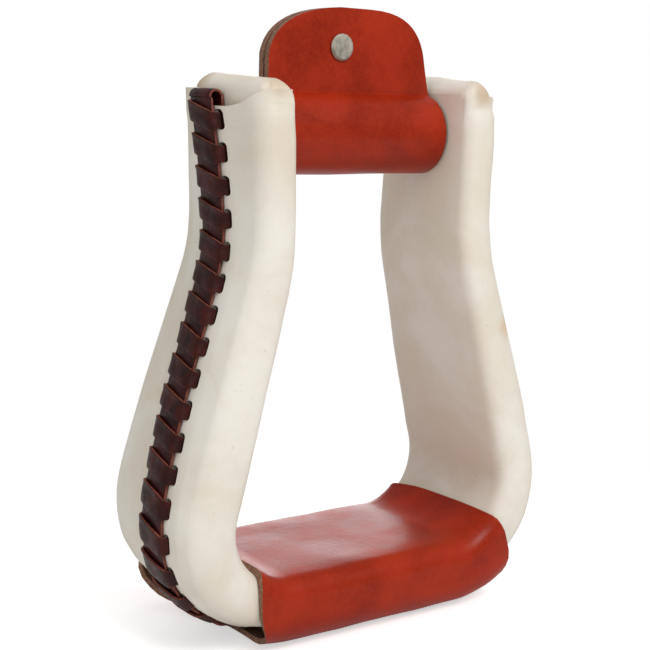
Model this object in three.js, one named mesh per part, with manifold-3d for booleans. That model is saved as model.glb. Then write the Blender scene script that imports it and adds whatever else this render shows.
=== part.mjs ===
// Roper stirrup: a bent wooden bow in a laced rawhide cover, with a leather
// sleeve on the tread and a riveted neck leather that swings on the cross bolt.
// Millimetres, +Z up. The origin is under the middle of the tread, X runs along
// the cross bolt and Y from the front of the stirrup to its back.
import * as THREE from 'three';
import { mergeGeometries, mergeVertices } from 'three/addons/utils/BufferGeometryUtils.js';
import Module from 'manifold-3d';

const wasm = await Module();
wasm.setup();

// Bow, measured on the inside of its rawhide cover
const neckGap = 76.4; // between the posts at the bolt
const insideWidth = 122.6; // at the widest place, above the tread
const boltToTread = 159; // bolt axis down to the top of the tread leather
const cornerRadius = 23; // inside, between leg and tread
const neckBendRadius = 88; // where the posts turn into the legs
const postLean = THREE.MathUtils.degToRad(1.7); // posts open a little upward
const legLean = THREE.MathUtils.degToRad(14.75); // legs spread downward
const postTop = 20.5; // covered post end above the bolt axis
const neckDepth = 55.9; // front to back at the post ends
const treadDepth = 64.6; // front to back at the tread
const spreadStart = 15; // below the bolt, where the depth starts to grow
const spreadHeight = 131; // below the bolt, where the full depth is reached
const woodThickness = 12; // at the posts and the tread
const legSwell = 4; // added to it in the legs
const cornerSwell = 0.7; // share of the corner over which that thins out
const woodInnerEdge = 3.2; // edge radius of the wood towards the foot
const woodOuterEdge = 5.4; // edge radius of the wood away from it

// Sheet goods
const rawhide = 1.9;
const stripWidth = 13;
const stripThickness = 1.6;
const laceWidth = 6.2;
const laceThickness = 1.6;
const treadLeather = 2.2;
const neckLeather = 3.1;
const seat = 0.3; // clearance between pieces that lie on each other
const laceEase = 0.45; // clearance on both faces of the lace under the wings

// Lacing
const lacePitch = 11.5;
const holeLine = 11; // hole centres from the seam
const holeRadius = 4.2;
const holeMargin = 1.2; // plain rawhide beside the holes
const strapReach = 12.9; // outer edge of a strap's bend from the seam
const strapShare = 0.32; // part of the pitch that a strap makes on the outside
const firstHole = 2.1; // below the upper edge of the wings
const lastHole = 9; // least distance of the lacing from the middle of the tread
const seamGap = 1.2; // between the two rawhide wings
const tuckGap = 1; // strip to the lace where it dives and where it comes to rest

// Post ends
const wingEdge = 4.7; // upper edge of the wings below the post end
const wingDip = 6; // the edge is that much lower at the seam
const wingFlat = 12; // in front of the seam it stays low for this far
const flapTuck = 12; // end flap below that edge
const domeHeight = 5.5;
const domeEdge = 7; // front and back rounding of the dome
const foldProud = 0.06; // flap past the sleeve, on the side where they are one skin
const archRise = 3; // hairpin of the seam strip above the wings
const archRadius = 2.45;

// Cross bolt
const boltDiameter = 8;
const boltClearance = 0.4; // around the shank
const boltChamfer = 0.8; // on the bolt head and the tip
const washerDiameter = 16;
const washerThickness = 1.2;
const headDiameter = 14;
const headHeight = 4;
const nutFlats = 12.7;
const nutHeight = 4.2;
const spacerDiameter = 23.4;
const neckSideGap = 0.8; // neck leather to the posts

// Neck leather
const flapHeight = 46; // above the bolt axis
const flapFlatLeft = 5; // level part of the flaps' upper edge, left of the middle
const flapFlatRight = 7.5;
const flapShoulder = 26; // below the upper edge, where the left side starts to round
const flapWaist = 3; // the right side draws in by this much below its shoulder
const flapRightShoulder = 18.5; // below the upper edge
const flapWaistHeight = 15; // above the bolt, where that side starts to draw in
const flapTurn = 11; // roundness of the corners between
const creaseHeight = 12.6; // where the wrap turns into the two flaps
const creaseTurn = 5; // height over which that turn ends
const hugAngle = THREE.MathUtils.degToRad(51); // up to which the wrap hugs the spacer
const flapGap = 0.6; // between the flaps
const rivetSide = -5.4;
const rivetDrop = 14.4; // below the flaps' upper edge
const rivetShank = 4.6;
const rivetHead = 9.9;
const rivetHeadHeight = 1.1;
const rivetHeadEdge = 0.7; // its worn rim
const peenHeight = 0.9; // shank end spread over the burr
const peenSpread = 0.8;
const burrDiameter = 11;
const burrThickness = 1.2;
const burrBevel = 0.5;

// Tread leather: angles up the corners at which its two ends stop, at the
// inner and outer face of the bow, at the front and back
const treadEnds = {
  left: { innerFront: 39, outerFront: 13, innerBack: 58, outerBack: 40 },
  right: { innerFront: 58, outerFront: 34, innerBack: 46, outerBack: 30 },
};
const treadSweep = 4; // the ends turn up mostly towards the back
const treadEdge = 8; // rounding of its lower edges
const treadSeam = 1.2; // where its two edges meet underneath

// Layers, as distances outward from the inside of the rawhide
const woodInner = rawhide + seat;
const woodOuter = woodInner + woodThickness;
const coverOuter = woodOuter + seat + rawhide;
const crown = laceThickness + 2 * laceEase - seat; // room under the wings for the lace
const seamFace = coverOuter + crown;
const stripFace = seamFace + seat + stripThickness;
const laceFace = stripFace + seat + laceThickness;
const treadInner = -(seat + treadLeather);
const treadOuter = laceFace + seat + treadLeather;

const treadTop = treadOuter - treadInner;
const boltZ = treadTop + boltToTread;
const insideFloor = treadTop + treadInner;

const colours = {
  wood: [0xb98b57, 0.7, 0],
  rawhide: [0xe1d7c8, 0.5, 0],
  lace: [0x3c1914, 0.42, 0],
  leather: [0xb23a1c, 0.45, 0],
  steel: [0xa9acb0, 0.35, 0.9],
  spacer: [0x8f9296, 0.45, 0.8],
  rivet: [0xbeb8a8, 0.5, 0.4],
};

// Meshes and solids

function solidOf(geometry) {
  const bare = geometry.clone();
  bare.deleteAttribute('normal');
  bare.deleteAttribute('uv');
  const merged = mergeVertices(bare, 1e-5);
  return new wasm.Manifold(new wasm.Mesh({
    numProp: 3,
    vertProperties: new Float32Array(merged.attributes.position.array),
    triVerts: new Uint32Array(merged.index.array),
  }));
}

function geometryOf(solid) {
  const mesh = solid.getMesh();
  const geometry = new THREE.BufferGeometry();
  geometry.setAttribute('position', new THREE.BufferAttribute(mesh.vertProperties, 3));
  geometry.setIndex(new THREE.BufferAttribute(mesh.triVerts, 1));
  return geometry;
}

function named(name, geometry, [color, roughness, metalness]) {
  const material = new THREE.MeshStandardMaterial({ color, roughness, metalness });
  geometry.computeVertexNormals();
  const mesh = new THREE.Mesh(geometry, material);
  mesh.name = name;
  return mesh;
}

// Joins rings of equal count into one closed solid; the outline gives the
// flat shape of the end faces.
function loft(rings, outline) {
  const count = rings[0].length;
  const positions = rings.flat().flatMap((point) => [point.x, point.y, point.z]);
  const faces = [];
  for (let i = 0; i < rings.length - 1; i += 1) {
    for (let j = 0; j < count; j += 1) {
      const a = i * count + j;
      const b = i * count + ((j + 1) % count);
      faces.push(a, b, b + count, a, b + count, a + count);
    }
  }
  const last = (rings.length - 1) * count;
  const winding = THREE.ShapeUtils.area(outline) > 0;
  for (const corners of THREE.ShapeUtils.triangulateShape(outline, [])) {
    const way = THREE.ShapeUtils.area(corners.map((corner) => outline[corner])) > 0;
    const [a, b, c] = way === winding ? corners : corners.toReversed();
    faces.push(a, c, b, last + a, last + b, last + c);
  }
  const geometry = new THREE.BufferGeometry();
  geometry.setAttribute('position', new THREE.Float32BufferAttribute(positions, 3));
  geometry.setIndex(faces);
  return volumeOf(rings, faces) < 0 ? flipped(geometry) : geometry;
}

function volumeOf(rings, faces) {
  const points = rings.flat();
  let volume = 0;
  for (let i = 0; i < faces.length; i += 3) {
    const [a, b, c] = [0, 1, 2].map((k) => points[faces[i + k]]);
    volume += a.dot(new THREE.Vector3().crossVectors(b, c));
  }
  return volume;
}

function flipped(geometry) {
  const index = Array.from(geometry.index.array);
  for (let i = 0; i < index.length; i += 3) {
    [index[i], index[i + 1]] = [index[i + 1], index[i]];
  }
  geometry.setIndex(index);
  return geometry;
}

// Bow line: the inside of the rawhide, from the left post end down, along the
// tread and up to the right post end. Its length is counted on the seam face.

function bowRuns() {
  const postFoot = Math.tan(postLean);
  const legSpread = Math.tan(legLean);
  const cornerX = insideWidth / 2 - cornerRadius;
  const cornerZ = insideFloor + cornerRadius;
  // the leg touches the corner arc here and meets the tread line below
  const touchX = cornerX + cornerRadius * Math.cos(legLean);
  const touchZ = cornerZ + cornerRadius * Math.sin(legLean);
  const heelX = touchX + (touchZ - insideFloor) * legSpread;
  // the post line and the leg line cross at the neck
  const waistZ = (heelX + insideFloor * legSpread - neckGap / 2 + boltZ * postFoot)
    / (postFoot + legSpread);
  const waistX = neckGap / 2 + (waistZ - boltZ) * postFoot;
  const topX = neckGap / 2 + postTop * postFoot;
  const corners = [
    { x: -topX, z: boltZ + postTop, radius: 0 },
    { x: -waistX, z: waistZ, radius: neckBendRadius },
    { x: -heelX, z: insideFloor, radius: cornerRadius },
    { x: heelX, z: insideFloor, radius: cornerRadius },
    { x: waistX, z: waistZ, radius: neckBendRadius },
    { x: topX, z: boltZ + postTop, radius: 0 },
  ];
  const points = corners.map(({ x, z }) => new THREE.Vector2(x, z));
  const runs = [];
  let from = points[0];
  for (let i = 1; i < points.length; i += 1) {
    const heading = points[i].clone().sub(points[i - 1]).normalize();
    if (i === points.length - 1) {
      runs.push({ start: from, heading, turn: 0, radius: 0, length: from.distanceTo(points[i]) });
      break;
    }
    const next = points[i + 1].clone().sub(points[i]).normalize();
    const turn = Math.atan2(heading.cross(next), heading.dot(next));
    const { radius } = corners[i];
    const reach = radius * Math.tan(Math.abs(turn) / 2);
    const end = points[i].clone().addScaledVector(heading, -reach);
    runs.push({ start: from, heading, turn: 0, radius: 0, length: from.distanceTo(end) });
    // a left turn has its centre inside the bow, so the seam face is longer
    const faceRadius = radius + Math.sign(turn) * seamFace;
    runs.push({ start: end, heading, turn, radius, length: Math.abs(turn) * faceRadius });
    from = points[i].clone().addScaledVector(next, reach);
  }
  let offset = 0;
  for (const run of runs) {
    run.from = offset;
    offset += run.length;
    run.to = offset;
  }
  return runs;
}

const runs = bowRuns();
const bowLength = runs.at(-1).to;
const cornerRuns = runs.filter((run) => run.turn > 0);

function runAt(s) {
  return runs.find((run) => s <= run.to) ?? runs.at(-1);
}

// Position on the bow line with its outward direction
function frameAt(s) {
  const run = runAt(s);
  const share = (s - run.from) / run.length;
  if (run.turn === 0) {
    const heading = run.heading;
    const point = run.start.clone().addScaledVector(heading, share * run.length);
    return { point, heading, outward: new THREE.Vector2(heading.y, -heading.x) };
  }
  const side = Math.sign(run.turn);
  const centre = run.start.clone()
    .addScaledVector(new THREE.Vector2(-run.heading.y, run.heading.x), side * run.radius);
  const heading = run.heading.clone().rotateAround(new THREE.Vector2(), run.turn * share);
  const outward = new THREE.Vector2(heading.y, -heading.x);
  const point = centre.addScaledVector(outward, side * run.radius);
  return { point, heading, outward };
}

// How far the bow has spread from its neck to its legs, from 0 to 1
const spreadAt = (s) => THREE.MathUtils.smoothstep(boltZ - frameAt(s).point.y,
  spreadStart, spreadHeight);

// The wood is thicker in the legs and thins again round the corners
function swellAt(s) {
  const [left, right] = cornerRuns;
  const upTheCorner = Math.max((left.to - s) / left.length, (s - right.from) / right.length);
  return legSwell * spreadAt(s) * THREE.MathUtils.smoothstep(upTheCorner, 0, cornerSwell);
}

// A point of the bow at length s, depth y and distance out from the inside line
function place(s, y, out) {
  const { point, outward } = frameAt(s);
  const through = THREE.MathUtils.clamp((out - woodInner) / woodThickness, 0, 1);
  const reach = out + swellAt(s) * through;
  return new THREE.Vector3(point.x + outward.x * reach, y, point.y + outward.y * reach);
}

const straightStep = 24;
const turnStep = THREE.MathUtils.degToRad(7.6);

function stations(from, to) {
  const marks = [from];
  for (const run of runs) {
    const parts = run.turn === 0
      ? Math.ceil(run.length / straightStep)
      : Math.ceil(Math.abs(run.turn) / turnStep - 0.01);
    for (let i = 0; i <= parts; i += 1) {
      const mark = run.from + (run.length * i) / parts;
      if (mark > marks.at(-1) + 0.5 && mark < to - 0.5) marks.push(mark);
    }
  }
  marks.push(to);
  return marks;
}

// Half of the wood's depth, growing from the post ends to the legs
function woodHalf(s) {
  return THREE.MathUtils.lerp(neckDepth, treadDepth, spreadAt(s)) / 2 - rawhide - seat;
}

// Quarter round of a section, as [out, depth] pairs
function quarter(out, depth, radius, start, steps) {
  const pairs = [];
  for (let i = 0; i <= steps; i += 1) {
    const angle = start + (i / steps) * (Math.PI / 2);
    pairs.push([out + radius * Math.cos(angle), depth + radius * Math.sin(angle)]);
  }
  return pairs;
}

// Rounded section between two faces, from the outer face round to it again
function block(inner, outer, half, innerEdge, outerEdge, steps = 2) {
  return [
    ...quarter(outer - outerEdge, half - outerEdge, outerEdge, 0, steps),
    ...quarter(inner + innerEdge, half - innerEdge, innerEdge, Math.PI / 2, steps),
    ...quarter(inner + innerEdge, -half + innerEdge, innerEdge, Math.PI, steps),
    ...quarter(outer - outerEdge, -half + outerEdge, outerEdge, Math.PI * 1.5, steps),
  ];
}

const flat = (pairs) => pairs.map(([out, depth]) => new THREE.Vector2(out, depth));

// Mirrors a piece of the left post to the right one
function mirrored(geometry) {
  const copy = geometry.clone().scale(-1, 1, 1);
  return flipped(copy);
}

// Rings over a domed post end, from the dome's foot to its crest
function domeRings(foot, rise, edge, inner, outer, half, innerEdge, outerEdge) {
  const middle = (inner + outer) / 2;
  return [0, 25, 50, 70].map((degrees) => {
    const angle = THREE.MathUtils.degToRad(degrees);
    const shrink = Math.cos(angle);
    const reach = ((outer - inner) / 2) * shrink;
    const pairs = block(middle - reach, middle + reach, half - edge * (1 - shrink),
      innerEdge * shrink, outerEdge * shrink);
    const s = foot - rise * Math.sin(angle);
    return pairs.map(([out, depth]) => place(s, depth, out));
  });
}

// Wooden bow, with its ends set in for the flaps and bored for the bolt

const endRelief = rawhide + seat;
const flapEdge = wingEdge + flapTuck;
const domeFoot = domeHeight + rawhide + seat;

function postEndBlock(grow) {
  return {
    inner: woodInner - grow,
    outer: woodOuter - endRelief + grow,
    half: woodHalf(0) - endRelief + grow,
    innerEdge: woodInnerEdge + grow,
    outerEdge: woodOuterEdge + grow,
  };
}

function woodBow() {
  const end = postEndBlock(0);
  const endArgs = [end.inner, end.outer, end.half, end.innerEdge, end.outerEdge];
  const dome = domeRings(domeFoot, domeHeight, domeEdge, ...endArgs).reverse();
  const ledge = block(...endArgs).map(([out, depth]) => place(flapEdge, depth, out));
  const body = stations(flapEdge + endRelief, bowLength / 2).map((s) => (
    block(woodInner, woodOuter, woodHalf(s), woodInnerEdge, woodOuterEdge)
      .map(([out, depth]) => place(s, depth, out))
  ));
  const left = [...dome, ledge, ...body];
  const right = left.slice(0, -1).reverse()
    .map((ring) => ring.map((point) => new THREE.Vector3(-point.x, point.y, point.z)));
  const bow = solidOf(loft([...left, ...right], flat(block(...endArgs))));
  return geometryOf(bow.subtract(solidOf(boltBores())));
}

function cylinderX(radius, from, to, sides = 16) {
  const geometry = new THREE.CylinderGeometry(radius, radius, to - from, sides);
  geometry.rotateZ(-Math.PI / 2);
  geometry.translate((from + to) / 2, 0, boltZ);
  return geometry;
}

// Floor of the bolt's seats in the wood, below the set-in post ends
const recessFloor = neckGap / 2 + woodOuter - endRelief
  - Math.max(headHeight, nutHeight) - washerThickness - 3 * seat;
const openX = neckGap / 2 + woodOuter + postTop;

function boltBores() {
  const bore = cylinderX(boltDiameter / 2 + boltClearance, -openX, openX);
  const recess = washerDiameter / 2 + 2 * seat;
  const joined = solidOf(bore)
    .add(solidOf(cylinderX(recess, recessFloor, openX)))
    .add(solidOf(cylinderX(recess, -openX, -recessFloor)));
  return geometryOf(joined);
}

// Rawhide cover: a sleeve with its seam down the outside, holes along the seam
// and an end flap over each post

// Outline at a distance off the wood, from the seam round the back to the front
function sleeveContour(half, off) {
  const edge = woodOuterEdge + off;
  const depth = half + off;
  const crownAt = (y) => crown * (1 - (y / (depth - edge)) ** 4);
  const back = [
    ...[seamGap / 2, holeLine - holeRadius - holeMargin, holeLine + holeRadius + holeMargin]
      .map((y) => [woodOuter + off + crownAt(y), y]),
    ...quarter(woodOuter + off - edge, depth - edge, edge, 0, 2),
    ...quarter(woodInner - off + woodInnerEdge + off, depth - woodInnerEdge - off,
      woodInnerEdge + off, Math.PI / 2, 2),
  ];
  const front = back.map(([out, y]) => [out, -y]).reverse();
  return [...back, ...front];
}

function sleeveSection(half) {
  return [...sleeveContour(half, seat + rawhide), ...sleeveContour(half, seat).reverse()];
}

// The upper edge of the wings is low at the seam, rises at once behind it, and
// in front of it only towards the front corner
function wingEdgeAt(out, y) {
  if (out < coverOuter - 2 * rawhide) return wingEdge;
  const rise = y > 0 ? y / holeLine : ((wingFlat + y) / (neckDepth / 2 - wingFlat)) ** 2;
  const share = y > 0 || y < -wingFlat ? Math.min(1, rise) : 0;
  return wingEdge + wingDip * (1 - share);
}

function sleeve() {
  const top = sleeveSection(woodHalf(0)).map(([out, y]) => place(wingEdgeAt(out, y), y, out));
  const firstFull = wingEdge + wingDip + rawhide;
  const body = stations(firstFull, bowLength - firstFull).map((s) => (
    sleeveSection(woodHalf(s)).map(([out, y]) => place(s, y, out))
  ));
  const foot = top.map((point) => new THREE.Vector3(-point.x, point.y, point.z));
  return loft([top, ...body, foot], flat(sleeveSection(woodHalf(0))));
}

// Thimble of rawhide over the left post end; its inner wall is the sleeve's
function endFlap() {
  const outer = thimble(seat + rawhide, seat + rawhide + foldProud, flapEdge - seat);
  return outer.subtract(thimble(seat, seat, flapEdge));
}

function thimble(rise, grow, ending) {
  const skin = postEndBlock(grow);
  const args = [skin.inner, skin.outer, skin.half, skin.innerEdge, skin.outerEdge];
  const dome = domeRings(domeFoot, domeHeight + rise, domeEdge, ...args).reverse();
  const end = block(...args).map(([out, depth]) => place(ending, depth, out));
  return solidOf(loft([...dome, end], flat(block(...args))));
}

function cutterAlong(s, y, radius, from, to, sides) {
  const { outward } = frameAt(s);
  const geometry = new THREE.CylinderGeometry(radius, radius, to - from, sides);
  const axis = new THREE.Vector3(outward.x, 0, outward.y);
  geometry.applyQuaternion(new THREE.Quaternion()
    .setFromUnitVectors(new THREE.Vector3(0, 1, 0), axis));
  const middle = place(s, y, (from + to) / 2);
  return geometry.translate(middle.x, middle.y, middle.z);
}

// Whip lacing: straps run outside from a back hole down to a front hole and
// come back under the wings to the next back hole

const firstBackHole = wingEdge + wingDip + firstHole;
const strapAdvance = strapShare * lacePitch;
const strapCount = Math.floor((bowLength / 2 - lastHole - firstBackHole - strapAdvance)
  / lacePitch) + 1;

function laceHoles() {
  const cutters = [];
  for (let turn = 0; turn < strapCount; turn += 1) {
    const s = firstBackHole + turn * lacePitch;
    for (const [mark, y] of [[s, holeLine], [s + strapAdvance, -holeLine]]) {
      cutters.push(cutterAlong(mark, y, holeRadius, woodOuter + seat / 2, laceFace, 8));
    }
  }
  return mergeGeometries(cutters);
}

function rawhideCover() {
  const holes = laceHoles();
  const flap = endFlap();
  const shank = boltDiameter / 2 + boltClearance;
  const posts = solidOf(sleeve())
    .add(flap)
    .add(solidOf(mirrored(geometryOf(flap))));
  return geometryOf(posts
    .subtract(solidOf(holes))
    .subtract(solidOf(mirrored(holes)))
    .subtract(solidOf(cylinderX(shank, -recessFloor, recessFloor))));
}

// One turn of the lace as [depth, out, length along the bow] triples, from the
// back hole over the outside to the front hole and back under the wings
const overLace = laceFace - laceThickness / 2;
const underLace = woodOuter + laceEase + laceThickness / 2;
const bend = (overLace - underLace) / 2;
const bendCentre = strapReach - laceThickness / 2 - bend;

// A bend through a hole, from one angle of the turn to another
function laceBend(side, s, from, to) {
  const points = [];
  for (let degrees = from; degrees <= to; degrees += 45) {
    const angle = THREE.MathUtils.degToRad(degrees);
    const depth = side * bendCentre + bend * Math.cos(angle);
    points.push([depth, (overLace + underLace) / 2 + bend * Math.sin(angle), s]);
  }
  return points;
}

function lacePath() {
  const tail = stripWidth / 2 + tuckGap; // beside the strip's tucked end
  const points = [[tail, underLace, firstBackHole]];
  for (let turn = 0; turn < strapCount; turn += 1) {
    const s = firstBackHole + turn * lacePitch;
    const front = s + strapAdvance;
    points.push(...laceBend(1, s, -90, 90), ...laceBend(-1, front, 90, 270));
    if (turn < strapCount - 1) points.push([0, underLace, (front + s + lacePitch) / 2]);
  }
  points.push([-tail, underLace, points.at(-1)[2]]);
  return points;
}

const ribbonCorners = [[1, 1], [1, -1], [-1, -1], [-1, 1]];

function ribbonRings(path) {
  const spine = path.map(([y, out, s]) => place(s, y, out));
  return spine.map((point, i) => {
    const before = spine[Math.max(i - 1, 0)];
    const after = spine[Math.min(i + 1, spine.length - 1)];
    const tangent = after.clone().sub(before).normalize();
    const [y, out, s] = path[i];
    const across = place(s + laceWidth / 2, y, out).sub(place(s - laceWidth / 2, y, out));
    across.addScaledVector(tangent, -across.dot(tangent)).normalize();
    const thick = new THREE.Vector3().crossVectors(tangent, across);
    return ribbonCorners.map(([a, b]) => point.clone()
      .addScaledVector(across, (a * laceWidth) / 2)
      .addScaledVector(thick, (b * laceThickness) / 2));
  });
}

const laceRings = ribbonRings(lacePath());

// Least distance between corners of the lace that lie a half turn or more apart
function leastLaceGap() {
  const perTurn = 11;
  let least = Infinity;
  laceRings.forEach((ring, i) => {
    laceRings.slice(i + perTurn / 2, i + 2 * perTurn).forEach((other) => {
      for (const a of ring) {
        for (const b of other) least = Math.min(least, a.distanceTo(b));
      }
    });
  });
  return least;
}

console.log(`least gap of the lace to itself ${leastLaceGap().toFixed(2)} mm`);

const lace = () => loft(laceRings, flat(ribbonCorners));

// Seam strip: lies on the seam under the straps and turns under the wings in
// a hairpin at each post end

function seamStrip() {
  const edge = wingEdge + wingDip;
  const low = woodOuter + laceEase + stripThickness / 2;
  const high = seamFace + seat + stripThickness / 2;
  const crest = edge - archRise;
  const settled = firstBackHole - laceWidth / 2 - tuckGap;
  const hairpin = [[firstBackHole, low], [crest, low]];
  for (let i = 1; i <= 4; i += 1) {
    const angle = (i * Math.PI) / 4;
    hairpin.push([crest - archRadius * Math.sin(angle),
      low + archRadius * (1 - Math.cos(angle))]);
  }
  const left = [
    ...hairpin,
    ...stations(settled, bowLength / 2).map((s) => [s, high]),
  ].map(([s, out]) => place(s, 0, out));
  const right = left.slice(0, -1).reverse().map(({ x, z }) => new THREE.Vector3(-x, 0, z));
  const spine = [...left, ...right];
  const rings = spine.map((point, i) => {
    const before = spine[Math.max(i - 1, 0)];
    const after = spine[Math.min(i + 1, spine.length - 1)];
    const tangent = after.clone().sub(before).normalize();
    const normal = new THREE.Vector3(tangent.z, 0, -tangent.x);
    return ribbonCorners.map(([a, b]) => point.clone()
      .addScaledVector(normal, (a * stripThickness) / 2)
      .setY((b * stripWidth) / 2));
  });
  return loft(rings, flat(ribbonCorners));
}

// Tread leather: a sleeve round the tread and the lacing, closed edge to edge
// underneath, with skew ends

function treadContour(half, grow) {
  const depth = half + rawhide + 2 * seat + grow;
  const inner = -seat - grow;
  const outer = laceFace + seat + grow;
  const lower = treadEdge - treadLeather + grow;
  const upper = woodInnerEdge + rawhide + 2 * seat + grow;
  const back = [
    [outer, treadSeam / 2],
    [outer, (depth - lower) / 2],
    ...quarter(outer - lower, depth - lower, lower, 0, grow > 0 ? 3 : 2),
    ...quarter(inner + upper, depth - upper, upper, Math.PI / 2, grow > 0 ? 3 : 2),
  ];
  return [...back, ...back.map(([out, y]) => [out, -y]).reverse()];
}

function treadSection(half) {
  return [...treadContour(half, treadLeather), ...treadContour(half, 0).reverse()];
}

// Angle up the corner at which the leather ends, at a point of its section
function treadEndAngle(ends, out, y) {
  const outward = THREE.MathUtils.clamp(out / laceFace, 0, 1);
  const backward = THREE.MathUtils.clamp(0.5 + y / treadDepth, 0, 1) ** treadSweep;
  const front = THREE.MathUtils.lerp(ends.innerFront, ends.outerFront, outward);
  const back = THREE.MathUtils.lerp(ends.innerBack, ends.outerBack, outward);
  return THREE.MathUtils.degToRad(THREE.MathUtils.lerp(front, back, backward));
}

function treadSleeve() {
  const [leftCorner, rightCorner] = cornerRuns;
  const section = treadSection(woodHalf(bowLength / 2));
  const steps = 11;
  const rings = [];
  for (let i = steps; i >= 1; i -= 1) {
    rings.push(section.map(([out, y]) => {
      const angle = (treadEndAngle(treadEnds.left, out, y) * i) / steps;
      return place(leftCorner.to - (leftCorner.length * angle) / leftCorner.turn, y, out);
    }));
  }
  for (const s of [leftCorner.to, bowLength / 2, rightCorner.from]) {
    rings.push(section.map(([out, y]) => place(s, y, out)));
  }
  for (let i = 1; i <= steps; i += 1) {
    rings.push(section.map(([out, y]) => {
      const angle = (treadEndAngle(treadEnds.right, out, y) * i) / steps;
      return place(rightCorner.from + (rightCorner.length * angle) / rightCorner.turn, y, out);
    }));
  }
  return loft(rings, flat(section));
}

// Cross bolt with its washers, nut and spacer

const washerSeat = recessFloor + seat;
const headSeat = washerSeat + washerThickness + seat;

// Turned piece about the bolt axis from [x, radius] pairs
function turned(profile, sides = 16) {
  const geometry = new THREE.LatheGeometry(
    profile.map(([x, radius]) => new THREE.Vector2(radius, x)), sides,
  );
  return closed(geometry.rotateZ(-Math.PI / 2).translate(0, 0, boltZ));
}

// Merges the seam and poles of a turned or extruded shape and faces it outward
function closed(geometry) {
  return geometryOf(solidOf(oriented(geometry)));
}

function oriented(geometry) {
  const bare = geometry.clone();
  bare.deleteAttribute('normal');
  bare.deleteAttribute('uv');
  const merged = mergeVertices(bare, 1e-5);
  const source = merged.index.array;
  const faces = [];
  for (let i = 0; i < source.length; i += 3) {
    const [a, b, c] = [source[i], source[i + 1], source[i + 2]];
    if (a !== b && b !== c && c !== a) faces.push(a, b, c);
  }
  merged.setIndex(faces);
  const points = [];
  const { position } = merged.attributes;
  for (let i = 0; i < position.count; i += 1) {
    points.push(new THREE.Vector3().fromBufferAttribute(position, i));
  }
  return volumeOf([points], faces) < 0 ? flipped(merged) : merged;
}

function stirrupBolt() {
  const shank = boltDiameter / 2;
  const tip = headSeat + nutHeight - seat;
  const head = headSeat + headHeight;
  return turned([
    [-head, 0], [-head, headDiameter / 2 - boltChamfer],
    [-head + boltChamfer, headDiameter / 2], [-headSeat, headDiameter / 2],
    [-headSeat, shank], [tip - boltChamfer, shank], [tip, shank - boltChamfer], [tip, 0],
  ]);
}

function ringX(bore, radius, from, to, sides = 16) {
  const profile = [[from, bore], [from, radius], [to, radius], [to, bore], [from, bore]];
  return turned(profile, sides);
}

function washer(side) {
  const bore = boltDiameter / 2 + seat;
  const geometry = ringX(bore, washerDiameter / 2, washerSeat, washerSeat + washerThickness);
  return side < 0 ? mirrored(geometry) : geometry;
}

function boltNut() {
  const radius = nutFlats / Math.sqrt(3);
  const hexagon = new THREE.CylinderGeometry(radius, radius, nutHeight, 6);
  hexagon.rotateZ(-Math.PI / 2).translate(headSeat + nutHeight / 2, 0, boltZ);
  const bore = cylinderX(boltDiameter / 2 + seat, headSeat - 1, headSeat + nutHeight + 1);
  return geometryOf(solidOf(oriented(hexagon)).subtract(solidOf(oriented(bore))));
}

// Half length of what stands between the leaning posts at a given radius
const spanBetweenPosts = (radius, gap) => neckGap / 2 - radius * Math.tan(postLean) - gap;

function spacerTube() {
  const radius = spacerDiameter / 2;
  const span = spanBetweenPosts(radius, seat);
  return ringX(boltDiameter / 2 + boltClearance, radius, -span, span, 24);
}

// Neck leather: one strip wrapped under the spacer, its two ends riveted
// together above it and trimmed to one outline

const wrapInner = spacerDiameter / 2 + seat;
const wrapOuter = wrapInner + neckLeather;
const flapInner = flapGap / 2;
const flapOuter = flapInner + neckLeather;

function neckProfile() {
  const creaseDepth = Math.sqrt(wrapOuter ** 2 - creaseHeight ** 2);
  const creaseAngle = Math.atan2(creaseHeight, creaseDepth);
  // the leather leaves the wrap in line with it and turns up into the flaps
  const partHeight = creaseHeight + ((creaseDepth - flapOuter) * creaseDepth) / creaseHeight;
  const flatHeight = partHeight + creaseTurn;
  const pinchDepth = wrapInner * Math.cos(hugAngle);
  const pinchHeight = wrapInner * Math.sin(hugAngle);
  const open = flapHeight + neckLeather; // trimmed to the flaps' outline later
  const profile = new THREE.Shape();
  profile.moveTo(-flapOuter, open);
  profile.lineTo(-flapOuter, flatHeight);
  profile.quadraticCurveTo(-flapOuter, partHeight, -creaseDepth, creaseHeight);
  profile.absarc(0, 0, wrapOuter, Math.PI - creaseAngle, creaseAngle, false);
  profile.quadraticCurveTo(flapOuter, partHeight, flapOuter, flatHeight);
  profile.lineTo(flapOuter, open);
  profile.lineTo(flapInner, open);
  profile.lineTo(flapInner, flatHeight);
  profile.quadraticCurveTo(flapInner, partHeight, pinchDepth, pinchHeight);
  profile.absarc(0, 0, wrapInner, hugAngle, Math.PI - hugAngle, true);
  profile.quadraticCurveTo(-flapInner, partHeight, -flapInner, flatHeight);
  profile.lineTo(-flapInner, open);
  return profile;
}

// Outline of the flaps seen from the front, a little lower on the right
function flapOutline() {
  const side = spanBetweenPosts(wrapOuter, neckSideGap);
  const waist = side - flapWaist;
  const leftShoulder = flapHeight - flapShoulder;
  const rightShoulder = flapHeight - flapRightShoulder;
  const outline = new THREE.Shape();
  outline.moveTo(-side, -2 * wrapOuter);
  outline.lineTo(side, -2 * wrapOuter);
  outline.lineTo(side, flapWaistHeight);
  outline.lineTo(waist, rightShoulder);
  outline.bezierCurveTo(waist - flapWaist, flapHeight - flapTurn, side - flapTurn, flapHeight,
    flapFlatRight, flapHeight);
  outline.lineTo(-flapFlatLeft, flapHeight);
  outline.bezierCurveTo(flapTurn - side, flapHeight, -side, flapHeight - flapTurn / 2,
    -side, leftShoulder);
  outline.lineTo(-side, creaseHeight);
  return outline;
}

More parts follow.
